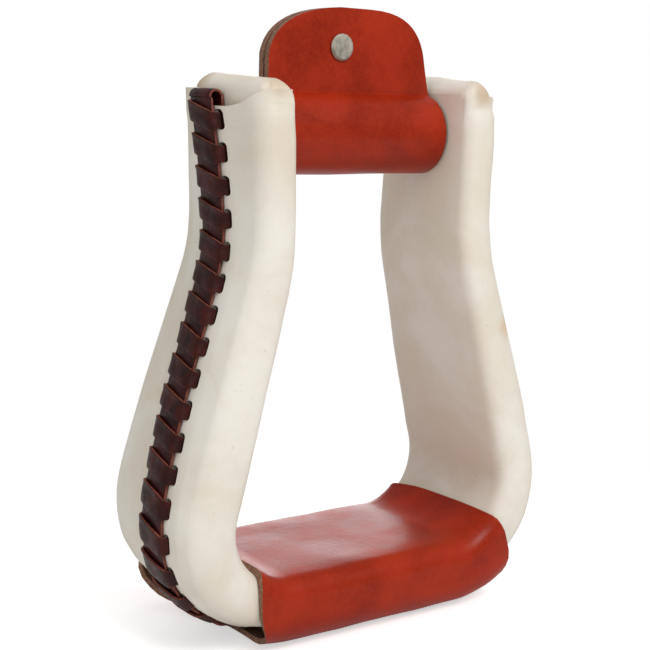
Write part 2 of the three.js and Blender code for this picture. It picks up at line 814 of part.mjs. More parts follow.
function extruded(shape, depth, curveSegments) {
  const geometry = new THREE.ExtrudeGeometry(shape, { depth, curveSegments, bevelEnabled: false });
  return oriented(geometry.translate(0, 0, -depth / 2));
}

function cylinderY(radius, from, to, sides = 16) {
  const geometry = new THREE.CylinderGeometry(radius, radius, to - from, sides);
  return oriented(geometry.translate(rivetSide, (from + to) / 2, flapHeight - rivetDrop));
}

function neckPiece() {
  // the profile lies in the plane across the bolt
  const wrap = extruded(neckProfile(), neckGap, 8);
  wrap.rotateX(Math.PI / 2).rotateZ(Math.PI / 2);
  const outline = extruded(flapOutline(), 4 * wrapOuter, 8);
  outline.rotateX(Math.PI / 2);
  const hole = cylinderY(rivetShank / 2 + seat, -2 * flapOuter, 2 * flapOuter);
  const trimmed = solidOf(oriented(wrap)).intersect(solidOf(oriented(outline)));
  return geometryOf(trimmed.subtract(solidOf(hole))).translate(0, 0, boltZ);
}

// Rivet with a flat head in front and its burr at the back
function turnedY(profile, sides = 16) {
  const geometry = new THREE.LatheGeometry(
    profile.map(([y, radius]) => new THREE.Vector2(radius, y)), sides,
  );
  return closed(geometry.translate(rivetSide, 0, boltZ + flapHeight - rivetDrop));
}

const rivetFace = flapOuter + seat;

function neckRivet() {
  const crest = rivetFace + rivetHeadHeight;
  const peened = rivetFace + burrThickness + seat;
  return turnedY([
    [-crest, 0], [-crest, rivetHead / 2 - rivetHeadEdge],
    [rivetHeadEdge - crest, rivetHead / 2], [-rivetFace, rivetHead / 2],
    [-rivetFace, rivetShank / 2], [peened, rivetShank / 2],
    [peened, rivetShank / 2 + peenSpread], [peened + peenHeight, rivetShank / 2],
    [peened + peenHeight, 0],
  ]);
}

function rivetBurr() {
  const bore = rivetShank / 2 + seat;
  const radius = burrDiameter / 2;
  const far = rivetFace + burrThickness;
  return turnedY([[rivetFace, bore], [rivetFace, radius], [far, radius - burrBevel], [far, bore],
    [rivetFace, bore]]);
}

const stirrup = new THREE.Group();
const leftLace = lace();
stirrup.add(
  named('wood_bow', woodBow(), colours.wood),
  named('rawhide_cover', rawhideCover(), colours.rawhide),
  named('seam_strip', seamStrip(), colours.lace),
  named('left_lace', leftLace, colours.lace),
  named('right_lace', mirrored(leftLace), colours.lace),
  named('tread_leather', treadSleeve(), colours.leather),
  named('stirrup_bolt', stirrupBolt(), colours.steel),
  named('bolt_nut', boltNut(), colours.steel),
  named('head_washer', washer(-1), colours.steel),
  named('nut_washer', washer(1), colours.steel),
  named('spacer_tube', spacerTube(), colours.spacer),
);

const neck = new THREE.Group();
neck.add(
  named('neck_leather', neckPiece(), colours.leather),
  named('neck_rivet', neckRivet(), colours.rivet),
  named('rivet_burr', rivetBurr(), colours.rivet),
);
stirrup.add(neck);

export default stirrup;
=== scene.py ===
"""Roper stirrup: a bent wooden bow in a laced rawhide cover, with a leather tread
sleeve and a riveted neck leather. The pieces are cut and shaped as straight stock,
and then bent along the bow or round the spacer."""
import math

import bmesh
import bpy
from bpy.props import FloatProperty, FloatVectorProperty, PointerProperty
from mathutils import Matrix, Vector


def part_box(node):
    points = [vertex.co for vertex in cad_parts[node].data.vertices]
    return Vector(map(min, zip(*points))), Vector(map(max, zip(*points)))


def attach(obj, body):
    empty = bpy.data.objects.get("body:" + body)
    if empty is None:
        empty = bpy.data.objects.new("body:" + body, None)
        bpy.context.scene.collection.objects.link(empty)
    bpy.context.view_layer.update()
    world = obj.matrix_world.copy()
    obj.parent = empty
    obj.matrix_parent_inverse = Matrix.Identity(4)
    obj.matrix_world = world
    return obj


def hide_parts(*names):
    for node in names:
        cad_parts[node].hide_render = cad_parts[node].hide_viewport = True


bl_info = {
    "name": "Roper Stirrup",
    "version": (1, 0, 0),
    "blender": (4, 5, 0),
    "location": "3D View > Sidebar > Stirrup",
    "description": "Models a laced rawhide stirrup with its leathers and its stage",
    "category": "Add Mesh",
}

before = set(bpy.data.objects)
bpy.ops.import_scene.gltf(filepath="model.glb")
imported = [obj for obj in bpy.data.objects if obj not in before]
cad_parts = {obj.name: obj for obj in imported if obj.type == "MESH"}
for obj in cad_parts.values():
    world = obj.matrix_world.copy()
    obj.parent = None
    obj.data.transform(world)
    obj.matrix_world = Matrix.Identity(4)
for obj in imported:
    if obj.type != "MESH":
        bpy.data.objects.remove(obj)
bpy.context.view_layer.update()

SPACER_LOW, SPACER_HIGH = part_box("spacer_tube")
BOLT_HEIGHT = (SPACER_LOW.z + SPACER_HIGH.z) / 2
MM = 0.001
DOUBLES = 0.01 * MM


def length(name, default, description):
    return FloatProperty(name=name, description=description, default=default * MM,
                         min=0.0, unit="LENGTH", subtype="DISTANCE", precision=5)


def angle(name, degrees, description):
    return FloatProperty(name=name, description=description,
                         default=math.radians(degrees), unit="ROTATION", subtype="ANGLE")


def share(name, default, description):
    return FloatProperty(name=name, description=description, default=default,
                         min=0.0, max=1.0, subtype="FACTOR")


def colour(name, default, description):
    return FloatVectorProperty(name=name, description=description, default=default,
                               size=3, min=0.0, max=1.0, subtype="COLOR")


class BowSizes(bpy.types.PropertyGroup):
    """Inside line of the rawhide and the layers on it"""
    neck_gap: length("Neck gap", 76.4, "Between the posts at the bolt")
    inside_width: length("Inside width", 122.6, "At the widest place, above the tread")
    inside_floor: length("Inside floor", 24.9, "Height of the rawhide on the tread")
    corner_radius: length("Corner radius", 23.0, "Inside, between leg and tread")
    neck_bend: length("Neck bend", 88.0, "Radius where the posts turn into the legs")
    post_lean: angle("Post lean", 1.7, "The posts open a little upward")
    leg_lean: angle("Leg lean", 14.75, "The legs spread downward")
    post_top: length("Post top", 20.5, "Covered post end above the bolt axis")
    neck_depth: length("Neck depth", 55.9, "Front to back at the post ends")
    tread_depth: length("Tread depth", 64.6, "Front to back at the tread")
    spread_start: length("Spread start", 15.0, "Below the bolt, where the depth grows")
    spread_height: length("Spread height", 131.0, "Below the bolt, to the full depth")
    wood_thickness: length("Wood thickness", 12.0, "At the posts and the tread")
    leg_swell: length("Leg swell", 4.0, "Added to the wood in the legs")
    corner_swell: share("Corner swell", 0.7, "Share of the corner where that thins out")
    inner_edge: length("Inner edge", 3.2, "Edge radius of the wood towards the foot")
    outer_edge: length("Outer edge", 5.4, "Edge radius of the wood away from it")
    seat: length("Seat", 0.3, "Clearance between pieces that lie on each other")
    stray: share("Stray", 1.0, "How much of its hand-made straying the left seam shows")
    stray_width: length("Stray width", 12.5, "Beside the seam, what strays with it")


class CoverSizes(bpy.types.PropertyGroup):
    """Rawhide cover and the post ends"""
    rawhide: length("Rawhide", 1.9, "Thickness of the rawhide")
    crown: length("Crown", 2.2, "Rise of the wings over the lace")
    seam_gap: length("Seam gap", 1.2, "Between the two wings")
    wing_edge: length("Wing edge", 4.7, "Upper edge of the wings below the post end")
    wing_dip: length("Wing dip", 6.0, "The edge is that much lower at the seam")
    wing_flat: length("Wing flat", 12.0, "In front of the seam it stays low for this far")
    corner_drop: length("Corner drop", 2.5, "The edge turns down at the back corner")
    flap_tuck: length("Flap tuck", 12.0, "End flap below that edge")
    dome_height: length("Dome height", 5.5, "Rise of the rounded post end")
    dome_edge: length("Dome edge", 7.0, "Front and back rounding of the dome")


class LacingSizes(bpy.types.PropertyGroup):
    """Whip lacing and the strip under it"""
    lace_width: length("Lace width", 7.6, "Width of the lace")
    lace_thickness: length("Lace thickness", 1.2, "Thickness of the lace")
    strip_width: length("Strip width", 14.4, "Width of the seam strip")
    strip_thickness: length("Strip thickness", 1.1, "Thickness of the seam strip")
    pitch: length("Pitch", 11.5, "From one hole to the next")
    hole_line: length("Hole line", 8.6, "Hole centres from the seam")
    hole_length: length("Hole length", 8.2, "Punched slot along the bow")
    hole_width: length("Hole width", 4.4, "Punched slot across it")
    hole_pull: length("Hole pull", 1.5, "The lace draws the first slots that much longer")
    strap_reach: length("Strap reach", 10.1, "Outer edge of a strap from the seam")
    strap_share: share("Strap share", 0.27, "Part of the pitch made on the outside")
    first_hole: length("First hole", 2.1, "Below the upper edge of the wings")
    last_hole: length("Last hole", 9.0, "Least distance from the middle of the tread")
    arch_rise: length("Arch rise", 3.0, "Hairpin of the strip above the wings")
    arch_radius: length("Arch radius", 2.45, "Radius of the hairpin")
    tuck_gap: length("Tuck gap", 1.0, "Strip to the lace where it dives")
    ease: length("Ease", 0.45, "Clearance on the lace under the wings")
    lift: length("Edge lift", 0.35, "How far the upper edge of a strap stands up")
    arch: length("Strap arch", 1.0, "How much lower a strap lies at its ends")


class TreadSizes(bpy.types.PropertyGroup):
    """Tread leather"""
    leather: length("Leather", 2.2, "Thickness of the tread leather")
    lower_edge: length("Lower edge", 12.0, "Rounding of its lower edges")
    seam: length("Seam", 1.2, "Where its two edges meet underneath")
    sweep: FloatProperty(name="Sweep", default=4.0, min=1.0,
                         description="The ends turn up mostly towards the back")


class NeckSizes(bpy.types.PropertyGroup):
    """Neck leather"""
    leather: length("Leather", 3.1, "Thickness of the neck leather")
    flap_height: length("Flap height", 46.0, "Top of the flaps above the bolt")
    flap_gap: length("Flap gap", 0.6, "Between the flaps")
    side_gap: length("Side gap", 0.8, "Neck leather to the posts")


class StageSettings(bpy.types.PropertyGroup):
    """Camera, floor and light"""
    azimuth: angle("Azimuth", 35.2, "Camera to the left of the front")
    elevation: angle("Elevation", 10.05, "Camera above the horizon")
    roll: angle("Roll", 1.95, "Turn of the picture")
    distance: length("Distance", 507.5, "From the bolt along the line of sight")
    shift_right: length("Right", 5.01, "Bolt to the right of the picture's middle")
    shift_down: length("Down", 72.53, "Camera below the bolt")
    lens: FloatProperty(name="Lens", description="Focal length in millimetres",
                        default=74.5, min=10.0)
    floor: colour("Floor", (0.85, 0.85, 0.85), "Floor under the object")
    floor_glow: share("Floor glow", 0.55, "Added to the floor where the camera sees it")


def sizes(group):
    """The scene's sizes of one group, such as the bow or the lacing."""
    return getattr(bpy.context.scene, "stirrup_" + group)


# Bow line

def bow_runs():
    """Straight and turning runs of the bow line, with lengths on the seam face."""
    bow = sizes("bow")
    face = seam_face()
    foot, spread = math.tan(bow.post_lean), math.tan(bow.leg_lean)
    radius = bow.corner_radius
    touch_x = bow.inside_width / 2 - radius + radius * math.cos(bow.leg_lean)
    touch_z = bow.inside_floor + radius + radius * math.sin(bow.leg_lean)
    heel = touch_x + (touch_z - bow.inside_floor) * spread
    waist_z = (heel + bow.inside_floor * spread - bow.neck_gap / 2
               + BOLT_HEIGHT * foot) / (foot + spread)
    waist = bow.neck_gap / 2 + (waist_z - BOLT_HEIGHT) * foot
    top = bow.neck_gap / 2 + bow.post_top * foot
    top_z = BOLT_HEIGHT + bow.post_top
    floor = bow.inside_floor
    knees = [Vector(p) for p in ((-top, top_z), (-waist, waist_z), (-heel, floor),
                                 (heel, floor), (waist, waist_z), (top, top_z))]
    radii = [0, bow.neck_bend, radius, radius, bow.neck_bend, 0]
    runs, start, offset = [], knees[0], 0.0
    for i in range(1, len(knees)):
        heading = (knees[i] - knees[i - 1]).normalized()
        if i == len(knees) - 1:
            runs.append([start, heading, 0.0, 0.0, (knees[i] - start).length])
            break
        after = (knees[i + 1] - knees[i]).normalized()
        turn = math.atan2(heading.cross(after), heading.dot(after))
        reach = radii[i] * math.tan(abs(turn) / 2)
        end = knees[i] - heading * reach
        runs.append([start, heading, 0.0, 0.0, (end - start).length])
        face_radius = radii[i] + math.copysign(face, turn)
        runs.append([end, heading, turn, radii[i], abs(turn) * face_radius])
        start = knees[i] + after * reach
    for run in runs:
        run.append(offset)
        offset += run[4]
    return runs


def wood_inner():
    """Inner face of the wood; the rawhide's inside is at height 0."""
    return sizes("cover").rawhide + sizes("bow").seat


def cover_outer():
    return 2 * wood_inner() + sizes("bow").wood_thickness


def wood_outer():
    return cover_outer() - sizes("cover").rawhide - sizes("bow").seat


def seam_face():
    return cover_outer() + sizes("cover").crown


def bow_length():
    last = bow_runs()[-1]
    return last[5] + last[4]


def bow_point(s, runs):
    """Point of the inside line at length s and the direction away from the foot."""
    run = next((r for r in runs if s <= r[5] + r[4]), runs[-1])
    start, heading, turn, radius, size, offset = run
    part = (s - offset) / size
    if turn == 0.0:
        return start + heading * (part * size), Vector((heading.y, -heading.x))
    side = math.copysign(1, turn)
    centre = start + Vector((-heading.y, heading.x)) * (side * radius)
    now = heading.copy()
    now.rotate(Matrix.Rotation(turn * part, 2))
    outward = Vector((now.y, -now.x))
    return centre + outward * (side * radius), outward


def clamp(value, high=1.0):
    return min(max(value, 0.0), high)


def smooth(value):
    value = clamp(value)
    return value * value * (3 - 2 * value)


def spread_at(s, runs):
    bow = sizes("bow")
    drop = BOLT_HEIGHT - bow_point(s, runs)[0].y
    return smooth((drop - bow.spread_start) / (bow.spread_height - bow.spread_start))


def half_depth(s, runs):
    """Half of the wood's depth at length s."""
    bow, cover = sizes("bow"), sizes("cover")
    grown = (bow.tread_depth - bow.neck_depth) * spread_at(s, runs)
    return (bow.neck_depth + grown) / 2 - cover.rawhide - bow.seat


def swell_at(s, runs):
    bow = sizes("bow")
    left, right = [run for run in runs if run[2] > 0]
    up = max((left[5] + left[4] - s) / left[4], (s - right[5]) / right[4])
    return bow.leg_swell * spread_at(s, runs) * smooth(up / bow.corner_swell)


# Shaping by hand: helpers for the piece at work

def deselect_all():
    if bpy.context.object and bpy.context.object.mode != "OBJECT":
        bpy.ops.object.mode_set(mode="OBJECT")
    bpy.ops.object.select_all(action="DESELECT")


def work_on(piece):
    deselect_all()
    piece.select_set(True)
    bpy.context.view_layer.objects.active = piece


def begin_piece(name):
    """Names the primitive just added and bakes its place into its mesh."""
    piece = bpy.context.object
    piece.name = piece.data.name = name
    bpy.ops.object.transform_apply(location=True, rotation=True, scale=True)
    return piece


def edit():
    bpy.ops.object.mode_set(mode="EDIT")


def leave_edit():
    bpy.ops.object.mode_set(mode="OBJECT")


def select(kind, test):
    """Selects vertices, edges or faces of the mesh in edit mode that pass the test."""
    modes = {"verts": "VERT", "edges": "EDGE", "faces": "FACE"}
    bpy.ops.mesh.select_mode(type=modes[kind])
    bpy.ops.mesh.select_all(action="DESELECT")
    mesh = bmesh.from_edit_mesh(bpy.context.object.data)
    for element in getattr(mesh, kind):
        if test(element):
            element.select_set(True)
    mesh.select_flush_mode()
    bmesh.update_edit_mesh(bpy.context.object.data)


def select_points(test):
    select("verts", lambda vert: test(vert.co))


def select_everything():
    bpy.ops.mesh.select_all(action="SELECT")


def points():
    """Places of the vertices of the mesh in edit mode."""
    mesh = bmesh.from_edit_mesh(bpy.context.object.data)
    return [vert.co.copy() for vert in mesh.verts]


def middle(element):
    return sum((vert.co for vert in element.verts), Vector()) / len(element.verts)


def shift(x=0.0, y=0.0, z=0.0):
    bpy.ops.transform.translate(value=(x, y, z))


def grow(scale, centre):
    bpy.ops.transform.resize(value=scale, center_override=centre)


def remove_faces(test):
    select("faces", test)
    bpy.ops.mesh.delete(type="FACE")


def extrude(x=0.0, y=0.0, z=0.0):
    bpy.ops.mesh.extrude_region_move(TRANSFORM_OT_translate={"value": (x, y, z)})


def turn_outward():
    """Turns all faces outward."""
    select_everything()
    bpy.ops.mesh.normals_make_consistent(inside=False)


def slice_at(point, normal, **options):
    """Cuts the whole piece along a plane."""
    select_everything()
    bpy.ops.mesh.bisect(plane_co=point, plane_no=normal, threshold=DOUBLES, **options)


def slice_both(depths):
    """Cuts straight stock along its length, at the same depths to both sides."""
    for depth in depths:
        for way in (-1, 1):
            slice_at((0, 0, way * depth), (0, 0, 1))


def new_object(name, data):
    made = bpy.data.objects.new(name, data)
    bpy.context.scene.collection.objects.link(made)
    return made


def copy_to(piece, place):
    copy = piece.copy()
    copy.data = piece.data.copy()
    copy.location = place
    bpy.context.scene.collection.objects.link(copy)
    return copy


def joined(pieces):
    """Joins the pieces into the first one, which keeps its place in its mesh."""
    deselect_all()
    for piece in pieces:
        piece.select_set(True)
    bpy.context.view_layer.objects.active = pieces[0]
    bpy.ops.object.join()
    bpy.ops.object.transform_apply(location=True, rotation=True, scale=True)
    return bpy.context.object


def mirror_to_right():
    """Turns stock made for the left half of the bow over to the right half."""
    edit()
    select_everything()
    grow((-1, 1, 1), (0, 0, 0))
    shift(x=bow_length())
    bpy.ops.mesh.normals_make_consistent(inside=False)
    leave_edit()


def give_looks(piece, *names):
    """Gives the piece its finishes, one in each material slot."""
    looks = materials()
    for name in names:
        piece.data.materials.append(looks[name])


# How squarely a face has to look to one side to get that side's finish; the lace is
# slanted and needs a little more
EDGE_ON, LACE_SIDE = 0.5, 0.6


def paint(test, slot):
    """Gives the faces that pass the test the finish of a slot."""
    edit()
    select("faces", test)
    bpy.context.object.active_material_index = slot
    bpy.ops.object.material_slot_assign()
    leave_edit()


def modify(piece, kind, **values):
    """Adds a modifier to the piece and applies it."""
    modifier = piece.modifiers.new(kind.lower(), kind)
    for name, value in values.items():
        setattr(modifier, name, value)
    bpy.ops.object.modifier_apply(modifier=modifier.name)


def finish_mesh(piece, degrees, doubles=DOUBLES):
    """Merges doubles, turns the faces outward and smooths the piece."""
    work_on(piece)
    edit()
    select_everything()
    bpy.ops.mesh.remove_doubles(threshold=doubles)
    bpy.ops.mesh.normals_make_consistent(inside=False)
    leave_edit()
    bpy.ops.object.shade_smooth_by_angle(angle=math.radians(degrees))


def section(name, x, low, high, half):
    """A flat section across the stock at x, from low to high outward and half each way."""
    bpy.ops.mesh.primitive_plane_add(size=2, location=(x, (low + high) / 2, 0),
                                     rotation=(0, math.pi / 2, 0))
    piece = begin_piece(name)
    edit()
    grow((1, (high - low) / 2, half), (x, (low + high) / 2, 0))
    return piece


def round_corners(test, radius, steps):
    """Rounds the corners of a flat section."""
    select_points(test)
    bpy.ops.mesh.bevel(offset=radius, offset_type="OFFSET", segments=steps,
                       affect="VERTICES", clamp_overlap=True)


def guide(name, spots):
    """A line to bend stock along; its first point is the stock's x = 0."""
    curve = bpy.data.curves.new(name, "CURVE")
    curve.dimensions = "3D"
    curve.twist_mode = "MINIMUM"
    spline = curve.splines.new("POLY")
    spline.points.add(len(spots) - 1)
    for slot, point in zip(spline.points, spots):
        slot.co = (*point, 1.0)
    return new_object(name, curve)


def bend(piece, line, offset):
    """Bends stock along a guide that lies at height y = offset in it."""
    work_on(piece)
    piece.data.transform(Matrix.Translation((0, -offset, 0)))
    modify(piece, "CURVE", object=line, deform_axis="POS_X")


GUIDE_PARTS = 560


def bow_guide(runs, spare, lead):
    """The seam face of the bow, with spare length at both ends. Its first stretch, the
    lead, is upright, because that is what turns the stock's outer side outward."""
    face, total = seam_face(), bow_length()
    spots = []
    for i in range(GUIDE_PARTS + 1):
        s = -spare + (total + 2 * spare) * i / GUIDE_PARTS
        inside = clamp(s, total)
        point, outward = bow_point(inside, runs)
        heading = Vector((-outward.y, outward.x))
        spot = point + outward * face + heading * (s - inside)
        spots.append((spot.x, 0.0, spot.y))
    first = spots[0]
    return guide("bow_line", [(first[0], 0.0, first[2] + lead), *spots])


# Lengths along the left side, and how far its seam strays to the back there
SEAM_STRAY = ((0, 7.5), (12, 7), (22, 4.3), (36, 1.5), (52, -1), (70, -2.9), (94, -4.6),
              (118, -5.2), (141, -7.6), (160, -9.9), (182, -9.6), (205, -7.2), (235, -2.5),
              (260, 0))


def stray_at(s):
    for (start, low), (end, high) in zip(SEAM_STRAY, SEAM_STRAY[1:]):
        if s <= end * MM:
            return (low + (high - low) * (s / MM - start) / (end - start)) * MM
    return 0.0


def fit_to_bow(piece, strays=False):
    """Swells straight stock with the wood and bends it round the bow. What strays
    follows the seam of the left side, which isn't quite in the middle."""
    bow = sizes("bow")
    runs = bow_runs()
    skin, total = wood_inner(), bow_length()
    spare, lead = 25 * MM, 5 * MM
    for vert in piece.data.vertices:
        out = (vert.co.y - skin) / bow.wood_thickness
        s = clamp(vert.co.x, total)
        if strays:
            half = half_depth(s, runs) + skin
            beside = smooth((half - abs(vert.co.z)) / (half - bow.stray_width))
            vert.co.z += bow.stray * stray_at(s) * beside * clamp(out)
        vert.co.y += swell_at(s, runs) * clamp(out)
        vert.co.x += spare + lead
    line = bow_guide(runs, spare, lead)
    bend(piece, line, seam_face())
    bpy.data.objects.remove(line)


BOW_STEP, TREAD_STEP = 4 * MM, 3 * MM  # between cuts, where the bow turns


def stations(start, end, step, runs):
    """Lengths along the bow from start to end, closer where it turns."""
    marks = [start]
    for _, _, turn, _, size, offset in runs:
        parts = max(1, math.ceil(size / (step if turn else 2 * step)))
        for i in range(parts + 1):
            mark = offset + size * i / parts
            if marks[-1] + step / 3 < mark < end - step / 3:
                marks.append(mark)
    return marks + [end]


# Rawhide cover

def wrap_stock(name, low, high, half, low_edge, high_edge, depths, rise, marks, seam):
    """A straight sleeve: a rounded section with a crowned outer face, drawn out along
    the marks [(length, half depth)], with its ends and its seam left open."""
    piece = section(name, marks[0][0], low, high, half)
    round_corners(lambda p: p.y > (low + high) / 2, high_edge, 6)
    round_corners(lambda p: p.y < (low + high) / 2 and abs(p.z) > half - MM / 10,
                  low_edge, 5)
    slice_both(depths)
    span = half - high_edge
    for depth in (*depths, span):
        for side in (-1, 1):
            select_points(lambda p: p.y > high - MM / 10 and abs(p.z - side * depth) < MM / 10)
            shift(y=rise * (1 - (depth / span) ** 4))
    select_everything()
    for before, after in zip(marks, marks[1:]):
        extrude(x=after[0] - before[0])
        grow((1, 1, after[1] / before[1]), (after[0], 0, 0))
    ends = (marks[0][0], marks[-1][0])
    remove_faces(lambda f: any(all(abs(v.co.x - end) < MM / 100 for v in f.verts)
                               for end in ends))
    remove_faces(lambda f: middle(f).y > high and abs(middle(f).z) < seam)
    turn_outward()
    return piece


def lace_start():
    cover, lacing = sizes("cover"), sizes("lacing")
    return cover.wing_edge + cover.wing_dip + lacing.first_hole


def strap_count():
    lacing = sizes("lacing")
    room = bow_length() / 2 - lacing.last_hole - lace_start()
    return int((room - lacing.strap_share * lacing.pitch) / lacing.pitch) + 1


FRONT_SLOT = 0.86  # share of a back slot's length
SLOT_ENDS = 0.42  # radius of the slots' ends, as a share of their width
PULLED_HOLES = 4  # so many holes at the top are pulled long
PUNCH_LENGTH = 12 * MM


def hole_punches():
    """One bevelled punch for each hole, on both sides of the bow."""
    lacing = sizes("lacing")
    outer, total = cover_outer(), bow_length()
    bpy.ops.mesh.primitive_cube_add(size=1, scale=(lacing.hole_length, PUNCH_LENGTH,
                                                   lacing.hole_width))
    punch = begin_piece("punch")
    edit()
    select("edges", lambda e: abs(e.verts[0].co.y - e.verts[1].co.y) > MM)
    bpy.ops.mesh.bevel(offset=SLOT_ENDS * lacing.hole_width, segments=5, affect="EDGES")
    leave_edit()
    spots = []
    for turn in range(strap_count()):
        s = lace_start() + turn * lacing.pitch
        pull = lacing.hole_pull * max(1 - turn / PULLED_HOLES, 0)
        spots += [(s, 1, pull), (s + lacing.strap_share * lacing.pitch, -1, pull)]
    spots += [(total - s, way, pull) for s, way, pull in spots]
    copies = []
    for s, way, pull in spots:
        copy = copy_to(punch, (s, outer, way * (lacing.hole_line + pull / 2)))
        copy.scale.z = 1 + pull / lacing.hole_width
        if way < 0:
            copy.scale.x = FRONT_SLOT
            upward = -1 if s < total / 2 else 1
            copy.location.x += upward * (1 - FRONT_SLOT) / 2 * lacing.hole_length
        copies.append(copy)
    bpy.data.objects.remove(punch)
    return joined(copies)


# Size and strength of the unevenness of hand-worked hide, in millimetres
LUMPS = {"hide_lumps": (22, 0.7), "hide_ripples": (6, 0.22), "lace_lumps": (6, 0.45),
         "strip_lumps": (12, 0.4), "tread_lumps": (20, 0.8), "neck_lumps": (30, 0.6)}


def make_uneven(piece, kind):
    size, strength = LUMPS[kind]
    texture = bpy.data.textures.new(kind, "CLOUDS")
    texture.noise_scale = size * MM
    texture.noise_depth = 1
    modify(piece, "DISPLACE", texture=texture, strength=strength * MM, mid_level=0.5,
           texture_coords="LOCAL")


COVER_CUTS = [d * MM for d in (3.5, 7, 9.5, 12, 15)]  # lengthwise, beside the seam
HALF_WAY = 0.45  # share of the dip in the row below the wings' edge
TAPER = 1.8  # how far the wings' ends draw in, as a share of the rawhide's thickness
DOME_TURNS = (18, 36, 54, 70, 82)  # degrees over the rounded post end
DOME_CUTS = (6 * MM, 13 * MM)  # lengthwise, beside its middle
DOME_TOP = 0.2  # least share of the width at its top
PLEATS = 2400  # rows to the metre, of which every other one sinks in
PLEAT_REACH = (4.5 * MM, 4 * MM)  # from the outer corner: inward, and along the depth
PLEAT_DEPTH = (0.5 * MM, 0.45 * MM)  # the same two ways
DENT = 0.45 * MM
POST_TILT = math.radians(2.5)  # its back stands up that much
RIGHT_RISE = 1.6 * MM  # the right post end stands higher


class STIRRUP_OT_rawhide_cover(bpy.types.Operator):
    """Wraps the bow in rawhide with its seam down the outside, and punches it"""
    bl_idname = "stirrup.rawhide_cover"
    bl_label = "Rawhide cover"

    def execute(self, context):
        bow, cover = sizes("bow"), sizes("cover")
        runs, total = bow_runs(), bow_length()
        skin = wood_inner()
        full = cover.wing_edge + cover.wing_dip + cover.rawhide
        between = (cover.wing_edge + full) / 2
        lengths = [cover.wing_edge, between,
                   *stations(full, total - full, BOW_STEP, runs),
                   total - between, total - cover.wing_edge]
        marks = [(s, half_depth(s, runs) + skin) for s in lengths]
        high = cover_outer()
        seam = cover.seam_gap / 2
        piece = wrap_stock("rawhide_wings", 0, high, marks[0][1], bow.inner_edge + skin,
                           bow.outer_edge + skin, [seam, *COVER_CUTS], cover.crown, marks,
                           seam)
        self.dip_wings(marks, high, total, between)
        leave_edit()
        give_looks(piece, "cream_rawhide", "cut_rawhide")
        modify(piece, "SOLIDIFY", thickness=cover.rawhide, offset=-1, use_even_offset=True,
               material_offset_rim=1)
        punches = hole_punches()
        work_on(piece)
        modify(piece, "BOOLEAN", object=punches, operation="DIFFERENCE", solver="EXACT")
        bpy.data.objects.remove(punches)
        fit_to_bow(piece, strays=True)
        piece = joined([piece, *[self.post_end(side) for side in (-1, 1)]])
        make_uneven(piece, "hide_lumps")
        make_uneven(piece, "hide_ripples")
        finish_mesh(piece, 40)
        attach(piece, "stirrup")
        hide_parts("rawhide_cover")
        return {"FINISHED"}

    def dip_wings(self, marks, high, total, between):
        """Lowers the wings' upper edge towards the seam, at both posts."""
        bow, cover = sizes("bow"), sizes("cover")
        half = bow.neck_depth / 2
        front, outer = half - cover.wing_flat, high - 2 * cover.rawhide
        for x, part, way in ((marks[0][0], 1.0, 1), (between, HALF_WAY, 1),
                             (total - marks[0][0], 1.0, -1), (total - between, HALF_WAY, -1)):
            depths = sorted({round(p.z, 6) for p in points()
                             if abs(p.x - x) < MM / 100 and p.y > outer})
            for z in depths:
                back = z / sizes("lacing").hole_line
                rise = back if z > 0 else (max(-z - cover.wing_flat, 0) / front) ** 2
                select_points(lambda p: abs(p.x - x) < MM / 100 and abs(p.z - z) < MM / 100
                              and p.y > outer)
                corner = cover.corner_drop * smooth((z - front) / (half - front))
                shift(x=way * part * (cover.wing_dip * (1 - smooth(rise)) + corner))
            select_points(lambda p: abs(p.x - x) < cover.wing_dip + MM and abs(p.z) > front)
            grow((1, 1, 1 - part * cover.rawhide / bow.neck_depth * TAPER), (x, 0, 0))

    def post_end(self, side):
        """Rawhide folded over a post end, with its edges gathered under the wings."""
        bow, cover = sizes("bow"), sizes("cover")
        runs = bow_runs()
        skin = wood_inner()
        high, half = skin + bow.wood_thickness, half_depth(0, runs)
        start = cover.wing_edge + cover.flap_tuck
        foot = cover.dome_height + skin
        piece = section("post_end", start, 0, high, half)
        round_corners(lambda p: p.y > high / 2, bow.outer_edge, 5)
        round_corners(lambda p: p.y < high / 2 and abs(p.z) > half - MM / 10,
                      bow.inner_edge, 4)
        slice_both(DOME_CUTS)
        select_everything()
        extrude(x=foot + 2 * MM - start)
        extrude(x=-2 * MM)
        now, width, depth = foot, 1.0, half
        for degrees in DOME_TURNS:
            turn = math.radians(degrees)
            target = foot - foot * math.sin(turn)
            extrude(x=target - now)
            new_width = max(math.cos(turn), DOME_TOP)
            new_depth = half - cover.dome_edge * (1 - math.cos(turn))
            grow((1, new_width / width, new_depth / depth), (target, high / 2, 0))
            now, width, depth = target, new_width, new_depth
        self.gather(high, half, foot)
        select_points(lambda p: p.x < foot + MM)
        bpy.ops.transform.rotate(value=POST_TILT, orient_axis="Y",
                                 center_override=(foot, 0, 0))
        if side > 0:
            shift(x=-RIGHT_RISE)
        remove_faces(lambda f: all(abs(v.co.x - start) < MM / 100 for v in f.verts))
        leave_edit()
        give_looks(piece, "cream_rawhide")
        modify(piece, "SUBSURF", levels=2, render_levels=2)
        finish_mesh(piece, 60)
        modify(piece, "SOLIDIFY", thickness=cover.rawhide, offset=-1)
        if side > 0:
            mirror_to_right()
        fit_to_bow(piece)
        return piece

    def gather(self, high, half, foot):
        """Draws pleats into the outer corners and dents the top a little."""
        for way in (-1, 1):
            select_points(lambda p: p.y > high - PLEAT_REACH[0]
                          and way * p.z > half - PLEAT_REACH[1]
                          and p.x < foot + MM and int(p.z * PLEATS) % 2 == 0)
            shift(y=-PLEAT_DEPTH[0], z=-way * PLEAT_DEPTH[1])
        select_points(lambda p: p.x < foot + MM)
        bpy.ops.transform.vertex_random(offset=DENT, uniform=0.3, seed=7)


# Lacing

